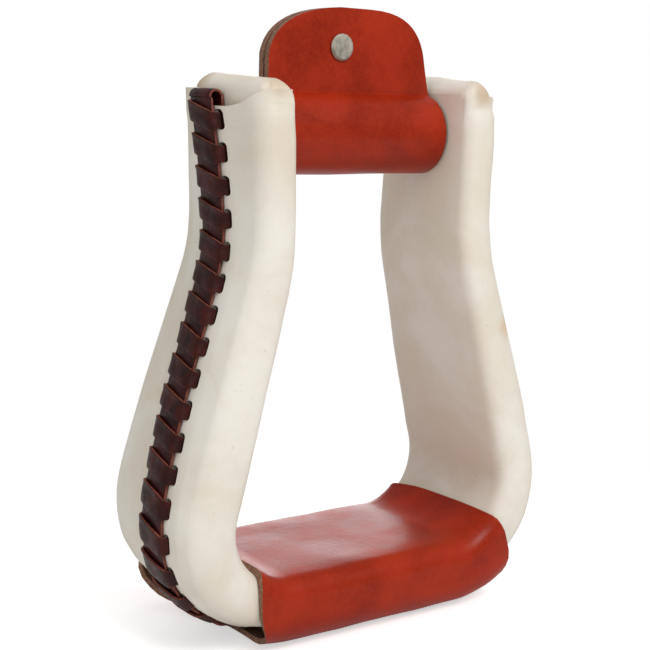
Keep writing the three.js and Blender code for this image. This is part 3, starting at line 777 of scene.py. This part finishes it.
LACE_EDGE, STRIP_EDGE = 0.24, 0.22  # shares of the thickness that are rounded off
UPPER_ROW = 0.6  # the upper edge of a strap is beyond that share of its half width
FIRST_PART = 0.4  # share of the width in which the first run is cut off


def lace_levels():
    """Middle of the lace outside the strip and under the wings."""
    lacing, bow = sizes("lacing"), sizes("bow")
    over = (seam_face() + 2 * bow.seat + lacing.strip_thickness
            + lacing.lace_thickness / 2)
    return over, wood_outer() + lacing.ease + lacing.lace_thickness / 2


def one_turn(lacing):
    """One turn of the lace, from under the seam round both holes and back."""
    over, under = lace_levels()
    thick, wide = lacing.lace_thickness, lacing.lace_width
    bend_radius = (over - under) / 2
    centre = lacing.strap_reach - thick / 2 - bend_radius
    bpy.ops.mesh.primitive_plane_add(size=1, location=(0, under, 0))
    piece = begin_piece("lace_turn")
    edit()
    grow((wide, thick, 1), (0, under, 0))
    select_everything()
    bpy.ops.mesh.bevel(offset=LACE_EDGE * thick, segments=2, affect="VERTICES")
    for x in (-wide / 4, 0, wide / 4):
        slice_at((x, 0, 0), (1, 0, 0))
    select_everything()
    for _ in range(2):
        extrude(z=centre / 2)
    for way in (1, -1):
        bpy.ops.mesh.spin(steps=8, angle=math.pi,
                          center=(0, (over + under) / 2, way * centre), axis=(1, 0, 0))
        if way > 0:
            for _ in range(8):
                extrude(z=-centre / 4)
    for _ in range(2):
        extrude(z=centre / 2)
    return piece, over, under, centre


# How much narrower a strap gets as it dives into its front and its back hole, and how
# fast it gets there
FRONT_NARROWING, BACK_NARROWING, DIVE = 0.3, 0.06, 1.3
SLIDE_MOST = 1.12  # of a strap's slant, below its front hole
FLAT_MIDDLE = 0.25  # share of a strap that stays at its full height
CROWN = 0.1 * MM  # its middle stands up that much


class STIRRUP_OT_lacing(bpy.types.Operator):
    """Cuts the seam strip and laces it down with a whip stitch on both sides"""
    bl_idname = "stirrup.lacing"
    bl_label = "Lacing and seam strip"

    def execute(self, context):
        self.seam_strip()
        lacing = sizes("lacing")
        turn, over, under, centre = one_turn(lacing)
        self.shape_turn(lacing, over, under, centre)
        leave_edit()
        give_looks(turn, "dark_lace", "cut_lace")
        paint(lambda f: abs(f.normal.x) > LACE_SIDE and middle(f).y > over - 2 * MM, 1)
        modify(turn, "SUBSURF", levels=1, render_levels=1)
        for side, name in ((-1, "left_lacing"), (1, "right_lacing")):
            self.whip(turn, side, name)
        bpy.data.objects.remove(turn)
        return {"FINISHED"}

    def shape_turn(self, lacing, over, under, centre):
        """Slants the strap, lifts its upper edge and draws it in at the holes."""
        half = lacing.lace_width / 2
        edge = over - lacing.lace_thickness
        select_points(lambda p: p.y > edge and p.x < -UPPER_ROW * half)
        shift(y=lacing.lift)
        select_points(lambda p: p.y > edge and abs(p.x) < half / 2)
        shift(y=CROWN)
        bend = (over - under) / 2
        turns = centre + 0.3 * MM
        for way, narrow, towards in ((-1, FRONT_NARROWING, -half / 2), (1, BACK_NARROWING, 0)):
            for y in sorted({round(p.y, 6) for p in points() if way * p.z > turns}):
                drop = (over + bend - y) / (2 * bend + lacing.lace_thickness)
                select_points(lambda p: way * p.z > turns and abs(p.y - y) < MM / 1000)
                grow((1 - narrow * smooth(DIVE * drop), 1, 1), (towards, y, 0))
        self.arch_over(lacing, over, under, centre + bend)
        self.slant(lacing, (over + under) / 2, centre)

    def slant(self, lacing, mid, centre):
        """Slides the rows down the bow, so that one turn ends where the next begins."""
        advance = lacing.strap_share * lacing.pitch
        back = (lacing.pitch - advance) / 2
        mesh = bmesh.from_edit_mesh(bpy.context.object.data)
        first_run = self.first_run(mesh, mid)
        rows = {}
        for vert in mesh.verts:
            z, upper = round(vert.co.z, 6), vert.co.y > mid
            if z <= centre:
                first = not upper and z >= -centre and vert.index in first_run
                rows.setdefault((z, upper, first), set()).add(vert.index)
        for (z, upper, first), row in rows.items():
            if upper:
                slide = advance * min((centre - z) / (2 * centre), SLIDE_MOST)
            elif z < -centre:
                slide = advance
            elif first:
                slide = -back * (centre - z) / centre
            else:
                slide = advance + back * (z + centre) / centre
            select("verts", lambda v: v.index in row)
            shift(x=slide)

    def arch_over(self, lacing, over, under, reach):
        """Lowers the strap towards both its ends."""
        rows = sorted({(round(p.y, 6), round(p.z, 6)) for p in points()
                       if p.y > (over + under) / 2})
        flat = FLAT_MIDDLE * reach
        for y, z in rows:
            outer = clamp((abs(z) - flat) / (reach - flat))
            upper = min((y - under) / (over - under), 1)
            select_points(lambda p: abs(p.y - y) < MM / 1000 and abs(p.z - z) < MM / 1000)
            shift(y=-lacing.arch * outer ** 2 * (2 * upper - 1))

    def first_run(self, mesh, mid):
        """Vertices of the run that leads to the back hole."""
        mesh.verts.ensure_lookup_table()
        first = mesh.verts[0]
        reached, front = {first.index}, [first]
        while front:
            vert = front.pop()
            for edge in vert.link_edges:
                other = edge.other_vert(vert)
                if other.index not in reached and other.co.y < mid and other.co.z > -MM / 10:
                    reached.add(other.index)
                    front.append(other)
        return reached

    def whip(self, turn, side, name):
        """Repeats the turn down one side of the bow as one unbroken lace."""
        lacing = sizes("lacing")
        copies = [copy_to(turn, (lace_start() + number * lacing.pitch, 0, 0))
                  for number in range(strap_count())]
        self.trim_start(copies[0], lacing)
        piece = joined(copies)
        piece.name = piece.data.name = name
        make_uneven(piece, "lace_lumps")
        if side > 0:
            mirror_to_right()
        fit_to_bow(piece, strays=True)
        finish_mesh(piece, 50, 0.00004)
        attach(piece, "stirrup")
        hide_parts("left_lace" if side < 0 else "right_lace")

    def trim_start(self, piece, lacing):
        """Ends the lace beside the tucked end of the strip."""
        work_on(piece)
        edit()
        over, under = lace_levels()
        select("faces", lambda f: middle(f).y < (over + under) / 2 and middle(f).z > 0
               and middle(f).x < FIRST_PART * lacing.lace_width)
        side = lacing.strip_width / 2 + lacing.tuck_gap
        bpy.ops.mesh.bisect(plane_co=(0, 0, side), plane_no=(0, 0, 1), clear_inner=True,
                            use_fill=True, threshold=DOUBLES)
        leave_edit()

    def seam_strip(self):
        """Turns the strip in a hairpin at each top and tucks its ends under the wings."""
        bow, cover, lacing = sizes("bow"), sizes("cover"), sizes("lacing")
        runs, total = bow_runs(), bow_length()
        thick = lacing.strip_thickness
        low = wood_outer() + lacing.ease + thick / 2
        high = seam_face() + bow.seat + thick / 2
        edge = cover.wing_edge + cover.wing_dip
        crest = edge - lacing.arch_rise
        settled = lace_start() - lacing.lace_width / 2 - lacing.tuck_gap
        radius = lacing.arch_radius
        tucked = lace_start()
        piece = section("seam_strip_leather", tucked, low - thick / 2, low + thick / 2,
                        lacing.strip_width / 2)
        select_everything()
        bpy.ops.mesh.bevel(offset=STRIP_EDGE * thick, segments=2, affect="VERTICES")
        select_everything()
        extrude(x=crest - tucked)
        bpy.ops.mesh.spin(steps=10, angle=math.pi, center=(crest, low + radius, 0),
                          axis=(0, 0, 1))
        ramp, rise = (settled - crest) / 2, (high - low) / 2 - radius
        marks = stations(settled, total - settled, BOW_STEP, runs)
        steps = [(after - before, 0) for before, after in zip(marks, marks[1:])]
        for along, up in ((ramp, rise), (ramp, rise), *steps, (ramp, -rise), (ramp, -rise)):
            extrude(x=along, y=up)
        bpy.ops.mesh.spin(steps=10, angle=math.pi, center=(total - crest, low + radius, 0),
                          axis=(0, 0, 1))
        extrude(x=crest - tucked)
        turn_outward()
        leave_edit()
        give_looks(piece, "dark_lace", "cut_lace")
        paint(lambda f: abs(f.normal.z) > EDGE_ON, 1)
        fit_to_bow(piece, strays=True)
        make_uneven(piece, "strip_lumps")
        finish_mesh(piece, 50)
        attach(piece, "stirrup")
        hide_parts("seam_strip")


# Tread leather

# Degrees up the corners at which its ends stop: inner and outer face of the bow at
# the front, and the same at the back
TREAD_ENDS = {"left": (39, 13, 58, 40), "right": (58, 34, 46, 30)}
TREAD_CUTS = [d * MM for d in (5, 10, 15, 20)]  # lengthwise, beside the seam
TREAD_SPARE = 5 * MM  # stock past the corners


class STIRRUP_OT_tread_leather(bpy.types.Operator):
    """Closes a leather sleeve round the tread and trims its two ends on the skew"""
    bl_idname = "stirrup.tread_leather"
    bl_label = "Tread leather"

    def execute(self, context):
        bow, cover = sizes("bow"), sizes("cover")
        tread, lacing = sizes("tread"), sizes("lacing")
        runs, total = bow_runs(), bow_length()
        left, right = [run for run in runs if run[2] > 0]
        over, _ = lace_levels()
        low = -bow.seat - tread.leather
        high = over + lacing.lace_thickness / 2 + bow.seat + tread.leather
        half = (half_depth(total / 2, runs) + cover.rawhide + 2 * bow.seat + tread.leather)
        upper = bow.inner_edge + cover.rawhide + 2 * bow.seat + tread.leather
        lengths = stations(left[5] - TREAD_SPARE, right[5] + right[4] + TREAD_SPARE,
                           TREAD_STEP, runs)
        marks = [(s, half) for s in lengths]
        seam = tread.seam / 2
        piece = wrap_stock("tread_wrap", low, high, half, upper, tread.lower_edge,
                           [seam, *TREAD_CUTS], 0, marks, seam)
        self.trim(lengths, left, right, high)
        leave_edit()
        give_looks(piece, "russet_leather", "cut_leather", "leather_flesh_side")
        modify(piece, "SOLIDIFY", thickness=tread.leather, offset=-1, use_even_offset=True,
               material_offset_rim=1, material_offset=2)
        fit_to_bow(piece)
        make_uneven(piece, "tread_lumps")
        finish_mesh(piece, 40)
        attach(piece, "stirrup")
        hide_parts("tread_leather")
        return {"FINISHED"}

    def trim(self, lengths, left, right, high):
        """Draws the straight ends back to the angles measured up the corners."""
        bow, tread = sizes("bow"), sizes("tread")
        per_degree = math.radians(1) * left[4] / left[2]
        for way, ends, edge, end in (
                (-1, TREAD_ENDS["left"], left[5] + left[4], lengths[0]),
                (1, TREAD_ENDS["right"], right[5], lengths[-1])):
            reach = abs(end - edge)
            for y, z in sorted({(round(p.y, 5), round(p.z, 5)) for p in points()}):
                out = clamp(y / (high - tread.leather))
                back = clamp(0.5 + z / bow.tread_depth) ** tread.sweep
                front_end = ends[0] + (ends[1] - ends[0]) * out
                back_end = ends[2] + (ends[3] - ends[2]) * out
                degrees = front_end + (back_end - front_end) * back
                select_points(lambda p: abs(p.y - y) < MM / 50 and abs(p.z - z) < MM / 50
                              and way * (p.x - edge) > MM / 10)
                grow((degrees * per_degree / reach, 1, 1), (edge, 0, 0))


# Neck leather

WRAP_RADIUS = (SPACER_HIGH.z - SPACER_LOW.z) / 2 + 0.5 * MM  # inner, with room to turn
HUG = math.radians(72)  # how far above the axis the leather leaves the wrap
CREASE = 1.8 * MM  # length of the bend between the wrap and a flap
BEND_PARTS, ARC_PARTS = 12, 60


def neck_line(neck):
    """Middle of the leather: down the front flap, under the spacer and up the back."""
    rim = WRAP_RADIUS + neck.leather / 2
    flap = neck.flap_gap / 2 + neck.leather / 2
    leave = Vector((-rim * math.cos(HUG), rim * math.sin(HUG)))
    # the leather leaves the wrap in line with it and turns up into the flaps
    part = Vector((-flap, leave.y + (-leave.x - flap) * -leave.x / leave.y))
    join = part + Vector((0, CREASE))
    front = [Vector((-flap, neck.flap_height)), join]
    for i in range(1, BEND_PARTS + 1):
        t = 1 - i / BEND_PARTS
        front.append(leave * (1 - t) ** 2 + part * 2 * t * (1 - t) + join * t * t)
    turns = [HUG - (math.pi + 2 * HUG) * i / ARC_PARTS for i in range(1, ARC_PARTS)]
    arc = [Vector((-rim * math.cos(turn), rim * math.sin(turn))) for turn in turns]
    back = [Vector((-p.x, p.y)) for p in reversed(front)]
    return front + arc + back


PLAIN_END = 28 * MM  # of a flap, where the strip needn't bend
BEND_STEP = 1.6 * MM
FLAP_CUTS = (8, 15, 22)  # millimetres from the ends
LENGTHWISE = range(-32, 33, 8)  # millimetres from the middle
ROUNDED_EDGE = 0.45 * MM


class STIRRUP_OT_neck_leather(bpy.types.Operator):
    """Cuts one strip of leather, trims its two flaps and wraps it under the spacer"""
    bl_idname = "stirrup.neck_leather"
    bl_label = "Neck leather"

    def execute(self, context):
        neck, bow = sizes("neck"), sizes("bow")
        line = neck_line(neck)
        total = sum((b - a).length for a, b in zip(line, line[1:]))
        rim = WRAP_RADIUS + neck.leather
        side = bow.neck_gap / 2 - rim * math.tan(bow.post_lean) - neck.side_gap
        bpy.ops.mesh.primitive_plane_add(size=1, location=(total / 2, 0, neck.leather / 2))
        piece = begin_piece("neck_wrap")
        edit()
        grow((total, 2 * side, 1), (total / 2, 0, 0))
        for corner in FLAP_CORNERS:
            for end in (0, total):
                self.cut_corner([Vector(point) * MM for point in corner], end,
                                neck.flap_height)
        for i in range(int((total - 2 * PLAIN_END) / BEND_STEP) + 1):
            slice_at((PLAIN_END + i * BEND_STEP, 0, 0), (1, 0, 0))
        for x in FLAP_CUTS:
            slice_at((x * MM, 0, 0), (1, 0, 0))
            slice_at((total - x * MM, 0, 0), (1, 0, 0))
        for y in LENGTHWISE:
            slice_at((0, y * MM, 0), (0, 1, 0))
        select_everything()
        extrude(z=-neck.leather)
        turn_outward()
        leave_edit()
        give_looks(piece, "russet_leather", "cut_leather", "leather_flesh_side")
        paint(lambda f: abs(f.normal.z) < EDGE_ON, 1)
        paint(lambda f: f.normal.z > EDGE_ON, 2)
        modify(piece, "BEVEL", width=ROUNDED_EDGE, segments=3, limit_method="ANGLE",
               angle_limit=math.radians(60))
        path = guide("neck_line", [(0.0, p.x, BOLT_HEIGHT + p.y) for p in line])
        bend(piece, path, 0)
        bpy.data.objects.remove(path)
        make_uneven(piece, "neck_lumps")
        finish_mesh(piece, 40)
        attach(piece, "neck")
        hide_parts("neck_leather")
        return {"FINISHED"}

    def cut_corner(self, outline, end, top):
        """Cuts one corner of a flap along its outline, drawn with the bolt at (0, 0)."""
        way = 1 if end == 0 else -1
        for (side, height), (next_side, next_height) in zip(outline, outline[1:]):
            out = Vector((next_height - height, side - next_side)).normalized()
            if out.x * (side + next_side) < 0:
                out = -out
            slice_at((end + way * (top - height), side, 0), (-way * out.y, out.x, 0),
                     clear_outer=True)


def flap_curve(start, first, second, end, steps=12):
    """Points of a smooth corner of the flaps."""
    curve = []
    for i in range(steps + 1):
        t = i / steps
        weights = ((1 - t) ** 3, 3 * t * (1 - t) ** 2, 3 * t * t * (1 - t), t ** 3)
        curve.append(tuple(sum(w * p[k] for w, p in zip(weights, (start, first, second, end)))
                           for k in (0, 1)))
    return curve


# Left and right corner of a flap, in millimetres to the left of the bolt and above it
FLAP_CORNERS = (
    flap_curve((37.4, 24), (37.4, 38), (26, 44.8), (6, 46)),
    [(-36.95, 15), *flap_curve((-34.2, 27.5), (-32.6, 36.5), (-27.5, 46), (-8, 46))],
)


# Finishes

def linear(red, green, blue):
    """Colour written as it shows on a screen, from 0 to 255, for a shader."""
    values = [c / 255 for c in (red, green, blue)]
    return tuple(c / 12.92 if c <= 0.04045 else ((c + 0.055) / 1.055) ** 2.4
                 for c in values)


WOBBLE = 0.8  # of a spot's outline, as a share of its radius


class Look:
    """A procedural finish: a principled shader on object coordinates."""

    def __init__(self, name, tone, roughness, **settings):
        self.material = bpy.data.materials.new(name)
        self.material.use_nodes = True
        self.tree = self.material.node_tree
        self.shader = self.tree.nodes["Principled BSDF"]
        self.shader.inputs["Base Color"].default_value = (*linear(*tone), 1)
        self.shader.inputs["Roughness"].default_value = roughness
        for key, value in settings.items():
            self.shader.inputs[key.replace("_", " ")].default_value = value
        self.place = self.add("ShaderNodeTexCoord").outputs["Object"]
        self.bumps = None

    def add(self, kind, inputs=None, **settings):
        """A new node; its inputs, by name or number, are values or other outputs."""
        made = self.tree.nodes.new(kind)
        for key, value in settings.items():
            setattr(made, key, value)
        for key, value in (inputs or {}).items():
            self.feed(value, made.inputs[key])
        return made

    def feed(self, value, socket):
        if isinstance(value, bpy.types.NodeSocket):
            self.tree.links.new(value, socket)
        else:
            socket.default_value = value

    def noise(self, size, detail=3.0, roughness=0.55, distortion=0.0, place=None):
        """Clouded noise; size is its coarsest grain in millimetres."""
        made = self.add("ShaderNodeTexNoise", {
            "Vector": place or self.place, "Scale": 1000 / size, "Detail": detail,
            "Roughness": roughness, "Distortion": distortion})
        return made.outputs["Fac"]

    def cells(self, size):
        """Distance from the nearest of the cells' centres, at that size in millimetres."""
        made = self.add("ShaderNodeTexVoronoi", {"Vector": self.place,
                                                 "Scale": 1000 / size})
        return made.outputs["Distance"]

    def between(self, value, low, high, out_low=0.0, out_high=1.0):
        made = self.add("ShaderNodeMapRange", {
            "Value": value, "From Min": low, "From Max": high, "To Min": out_low,
            "To Max": out_high}, interpolation_type="SMOOTHSTEP")
        return made.outputs["Result"]

    def maths(self, operation, *values):
        return self.add("ShaderNodeMath", dict(enumerate(values)),
                        operation=operation).outputs[0]

    def mix(self, factor, first, second):
        made = self.add("ShaderNodeMix", {"Factor": factor}, data_type="RGBA")
        for name, value in (("A", first), ("B", second)):
            socket = next(s for s in made.inputs if s.name == name and s.type == "RGBA")
            if isinstance(value, tuple):
                value = (*linear(*value), 1)
            self.feed(value, socket)
        return next(s for s in made.outputs if s.type == "RGBA")

    def near(self, spot, radius):
        """1 at a spot in millimetres, fading to 0 at the radius."""
        away = self.add("ShaderNodeVectorMath", {0: self.place, 1: [c * MM for c in spot]},
                        operation="DISTANCE")
        sway = WOBBLE * radius * MM
        wobble = self.maths("MULTIPLY_ADD", self.noise(radius, 2), sway, -sway / 2)
        reach = self.maths("ADD", away.outputs["Value"], wobble)
        return self.between(reach, radius * MM, 0.0)

    def tint(self, value):
        self.feed(value, self.shader.inputs["Base Color"])

    def rough(self, value):
        self.feed(value, self.shader.inputs["Roughness"])

    def relief(self, height, depth, strength=1.0):
        """Adds a relief of the given depth in millimetres."""
        below = {"Normal": self.bumps} if self.bumps else {}
        made = self.add("ShaderNodeBump", {"Strength": strength, "Distance": depth * MM,
                                           "Height": height, **below})
        self.bumps = made.outputs["Normal"]
        self.feed(self.bumps, self.shader.inputs["Normal"])


def rawhide_look(name, cut=False):
    look = Look(name, (238, 229, 214), 0.45, Specular_IOR_Level=0.4)
    cloud = look.noise(38, 4, 0.6, 0.4)
    pale = look.mix(look.between(cloud, 0.35, 0.7), (236, 226, 208), (247, 241, 230))
    warm = look.between(look.noise(24, 3, 0.6, 0.8), 0.55, 0.75, 0.0, 0.35)
    tone = look.mix(warm, pale, (233, 212, 178))
    specks = look.between(look.noise(1.1, 1, 0.4), 0.76, 0.82, 0.0, 0.35)
    tone = look.mix(specks, tone, (120, 96, 72))
    for spot, radius, amount, stain in STAINS:
        tone = look.mix(look.maths("MULTIPLY", look.near(spot, radius), amount), tone, stain)
    if cut:
        tone = look.mix(0.55, tone, (205, 176, 122))
    look.tint(tone)
    look.rough(look.between(cloud, 0.3, 0.7, 0.38, 0.5))
    look.relief(look.noise(3.2, 3, 0.6, 0.3), 0.10)
    look.relief(look.noise(0.55, 2, 0.6), 0.035)
    return look.material


STAINS = (
    ((-46, -24, 205), 9, 0.5, (190, 150, 96)),
    ((-50, 22, 203), 10, 0.6, (176, 132, 78)),
    ((47, -24, 203), 9, 0.55, (186, 140, 84)),
    ((60, -28, 112), 7, 0.4, (214, 158, 86)),
    ((-44, -26, 180), 22, 0.12, (208, 176, 126)),
)


def leather_look(name):
    look = Look(name, (172, 56, 24), 0.38, Specular_IOR_Level=0.22)
    cloud = look.noise(26, 5, 0.62, 0.5)
    tone = look.mix(look.between(cloud, 0.3, 0.72), (138, 27, 3), (172, 42, 6))
    fine = look.noise(1.4, 4, 0.7)
    tone = look.mix(look.between(fine, 0.35, 0.75, 0.0, 0.35), tone, (184, 54, 12))
    pores = look.between(look.noise(0.7, 2, 0.5), 0.66, 0.8, 0.0, 0.4)
    look.tint(look.mix(pores, tone, (110, 30, 14)))
    look.rough(look.between(cloud, 0.3, 0.7, 0.3, 0.43))
    look.relief(look.cells(0.9), 0.03, 0.7)
    look.relief(look.noise(2.6, 3, 0.6), 0.08)
    return look.material


def lace_look(name):
    look = Look(name, (60, 22, 18), 0.3, Specular_IOR_Level=0.2)
    cloud = look.noise(7, 4, 0.6, 0.5)
    look.tint(look.mix(look.between(cloud, 0.3, 0.75), (40, 12, 10), (76, 27, 21)))
    look.rough(look.between(look.noise(2.2, 3, 0.6), 0.3, 0.7, 0.26, 0.46))
    look.relief(look.cells(0.9), 0.05, 0.8)
    look.relief(look.noise(2.4, 3, 0.6), 0.12)
    return look.material


# Cut and flesh sides: tone and roughness, the noise of the fibres, their dark and pale
# tone, and how deep they are in millimetres
FIBRES = {
    "cut_leather": ((126, 84, 62), 0.8, (1.2, 5, 0.75, 0.6), (96, 62, 46), (164, 122, 96), 0.2),
    "leather_flesh_side": ((96, 62, 44), 0.9, (2.2, 5, 0.7, 0.4), (74, 44, 30), (120, 84, 62),
                           0.2),
    "cut_lace": ((146, 74, 50), 0.65, (1.0, 4, 0.7, 0.5), (84, 34, 24), (146, 78, 54), 0.1),
}


def fibre_look(name):
    tone, roughness, grain, dark, pale, depth = FIBRES[name]
    look = Look(name, tone, roughness)
    fibre = look.noise(*grain)
    look.tint(look.mix(look.between(fibre, 0.3, 0.7), dark, pale))
    look.relief(fibre, depth)
    return look.material


def steel_look(name, tone, roughness, metal=1.0):
    look = Look(name, tone, roughness, Metallic=metal)
    cloud = look.noise(3, 4, 0.65, 0.3)
    dark = tuple(int(c * 0.72) for c in tone)
    look.tint(look.mix(look.between(cloud, 0.3, 0.75), dark, tone))
    look.rough(look.between(cloud, 0.3, 0.7, roughness, roughness + 0.2))
    look.relief(look.noise(0.8, 3, 0.6), 0.03)
    return look.material


def wood_look(name):
    look = Look(name, (186, 140, 88), 0.6)
    stretch = look.add("ShaderNodeMapping", {"Vector": look.place, "Scale": (1, 6, 1)})
    grain = look.noise(9, 5, 0.65, 1.2, stretch.outputs["Vector"])
    look.tint(look.mix(look.between(grain, 0.3, 0.7), (150, 104, 60), (202, 160, 106)))
    look.relief(grain, 0.08)
    return look.material


FINISHES = {
    "cream_rawhide": rawhide_look,
    "cut_rawhide": lambda name: rawhide_look(name, cut=True),
    "russet_leather": leather_look,
    "cut_leather": fibre_look,
    "leather_flesh_side": fibre_look,
    "dark_lace": lace_look,
    "cut_lace": fibre_look,
    "zinc_steel": lambda name: steel_look(name, (176, 178, 182), 0.35),
    "dull_rivet": lambda name: steel_look(name, (196, 190, 174), 0.5, 0.35),
    "bow_wood": wood_look,
}


def materials():
    """All the finishes, each made once."""
    return {name: bpy.data.materials.get(name) or make(name)
            for name, make in FINISHES.items()}


class STIRRUP_OT_hard_parts(bpy.types.Operator):
    """Gives the wood and the metal parts their finishes"""
    bl_idname = "stirrup.hard_parts"
    bl_label = "Wood and metal"

    def execute(self, context):
        looks = materials()
        for look, nodes in (("bow_wood", ("wood_bow",)),
                            ("zinc_steel", ("stirrup_bolt", "bolt_nut", "head_washer",
                                            "nut_washer", "spacer_tube")),
                            ("dull_rivet", ("neck_rivet", "rivet_burr"))):
            for node in nodes:
                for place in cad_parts[node].material_slots:
                    place.material = looks[look]
        return {"FINISHED"}


# Stage

PALE_FROM = (0.12, 0.30)  # metres from the middle where the floor fades to white
SKY = 0.38  # strength of the white surroundings as light
AIM = Vector((0, 0, 0.12))
LAMPS = (  # name, place and size in metres, power in watts
    ("key", (0.1, -1.1, 1.25), 0.7, 12.5),
    ("left", (-1.5, -0.5, 0.9), 0.9, 2.8),
    ("back", (0.8, 1.2, 0.3), 0.6, 3.6),
    ("top", (0.0, 0.1, 1.7), 0.9, 3),
)


class STIRRUP_OT_stage(bpy.types.Operator):
    """Sets the floor, the studio light and the camera"""
    bl_idname = "stirrup.stage"
    bl_label = "Floor, light and camera"

    def execute(self, context):
        stage = sizes("stage")
        self.camera(context, stage)
        self.floor(stage)
        self.lamps(context)
        context.scene.view_settings.view_transform = "Standard"
        return {"FINISHED"}

    def camera(self, context, stage):
        az, el = stage.azimuth, stage.elevation
        right = Vector((math.cos(az), -math.sin(az), 0))
        ahead = Vector((math.sin(az) * math.cos(el), math.cos(az) * math.cos(el),
                        -math.sin(el)))
        up = right.cross(ahead)
        turned_right = right * math.cos(stage.roll) + up * math.sin(stage.roll)
        turned_up = up * math.cos(stage.roll) - right * math.sin(stage.roll)
        bolt = Vector((0, 0, BOLT_HEIGHT))
        spot = (bolt - ahead * stage.distance - right * stage.shift_right
                - up * stage.shift_down)
        data = bpy.data.cameras.new("photo_camera")
        data.lens, data.sensor_width = stage.lens, 36
        data.clip_start, data.clip_end = 0.01, 20
        camera = new_object("photo_camera", data)
        basis = Matrix((turned_right, turned_up, -ahead)).transposed()
        camera.matrix_world = Matrix.Translation(spot) @ basis.to_4x4()
        context.scene.camera = camera

    def floor(self, stage):
        bpy.ops.mesh.primitive_plane_add(size=6, location=(0, 0, -0.0002))
        floor = begin_piece("studio_floor")
        look = Look("studio_floor", (0, 0, 0), 0.9)
        shader = look.shader.inputs
        look.feed((*stage.floor, 1), shader["Base Color"])
        look.feed((*[stage.floor_glow] * 3, 1), shader["Emission Color"])
        away = look.add("ShaderNodeVectorMath", {0: look.place}, operation="LENGTH")
        far = look.between(away.outputs["Value"], *PALE_FROM)
        seen = look.add("ShaderNodeLightPath").outputs["Is Camera Ray"]
        look.feed(seen, shader["Emission Strength"])
        glow = look.add("ShaderNodeEmission").outputs[0]
        blend = look.add("ShaderNodeMixShader", {0: look.maths("MULTIPLY", far, seen),
                                                 1: look.shader.outputs[0], 2: glow})
        surface = look.tree.nodes["Material Output"].inputs["Surface"]
        look.feed(blend.outputs[0], surface)
        floor.data.materials.append(look.material)

    def lamps(self, context):
        world = bpy.data.worlds.new("studio")
        world.use_nodes = True
        context.scene.world = world
        tree = world.node_tree
        back = tree.nodes["Background"]
        back.inputs["Color"].default_value = (1, 1, 1, 1)
        path = tree.nodes.new("ShaderNodeLightPath")
        choose = tree.nodes.new("ShaderNodeMapRange")
        tree.links.new(path.outputs["Is Camera Ray"], choose.inputs["Value"])
        choose.inputs["To Min"].default_value = SKY
        choose.inputs["To Max"].default_value = 1.0
        tree.links.new(choose.outputs["Result"], back.inputs["Strength"])
        for name, spot, size, power in LAMPS:
            data = bpy.data.lights.new(name, "AREA")
            data.size, data.energy = size, power
            lamp = new_object(name, data)
            lamp.location = spot
            aim = AIM - Vector(spot)
            lamp.rotation_mode = "QUATERNION"
            lamp.rotation_quaternion = aim.to_track_quat("-Z", "Y")
            lamp.visible_camera = False


class STIRRUP_PT_panel(bpy.types.Panel):
    """Lists the pieces of the stirrup"""
    bl_label = "Roper Stirrup"
    bl_space_type = "VIEW_3D"
    bl_region_type = "UI"
    bl_category = "Stirrup"

    def draw(self, context):
        for operator in OPERATORS:
            self.layout.operator(operator.bl_idname)
        for group in SETTINGS:
            box = self.layout.box()
            box.label(text=group)
            settings = getattr(context.scene, group)
            for name in settings.__annotations__:
                box.prop(settings, name)


OPERATORS = (STIRRUP_OT_rawhide_cover, STIRRUP_OT_lacing, STIRRUP_OT_tread_leather,
             STIRRUP_OT_neck_leather, STIRRUP_OT_hard_parts, STIRRUP_OT_stage)
SETTINGS = {"stirrup_bow": BowSizes, "stirrup_cover": CoverSizes,
            "stirrup_lacing": LacingSizes, "stirrup_tread": TreadSizes,
            "stirrup_neck": NeckSizes, "stirrup_stage": StageSettings}


def register():
    for kind in (*SETTINGS.values(), *OPERATORS, STIRRUP_PT_panel):
        bpy.utils.register_class(kind)
    for name, kind in SETTINGS.items():
        setattr(bpy.types.Scene, name, PointerProperty(type=kind))


def unregister():
    for name in SETTINGS:
        delattr(bpy.types.Scene, name)
    for kind in (STIRRUP_PT_panel, *reversed(OPERATORS), *SETTINGS.values()):
        bpy.utils.unregister_class(kind)


def main():
    register()
    bpy.ops.stirrup.stage()
    bpy.ops.stirrup.hard_parts()
    bpy.ops.stirrup.rawhide_cover()
    bpy.ops.stirrup.lacing()
    bpy.ops.stirrup.tread_leather()
    bpy.ops.stirrup.neck_leather()


if __name__ == "__main__":
    main()
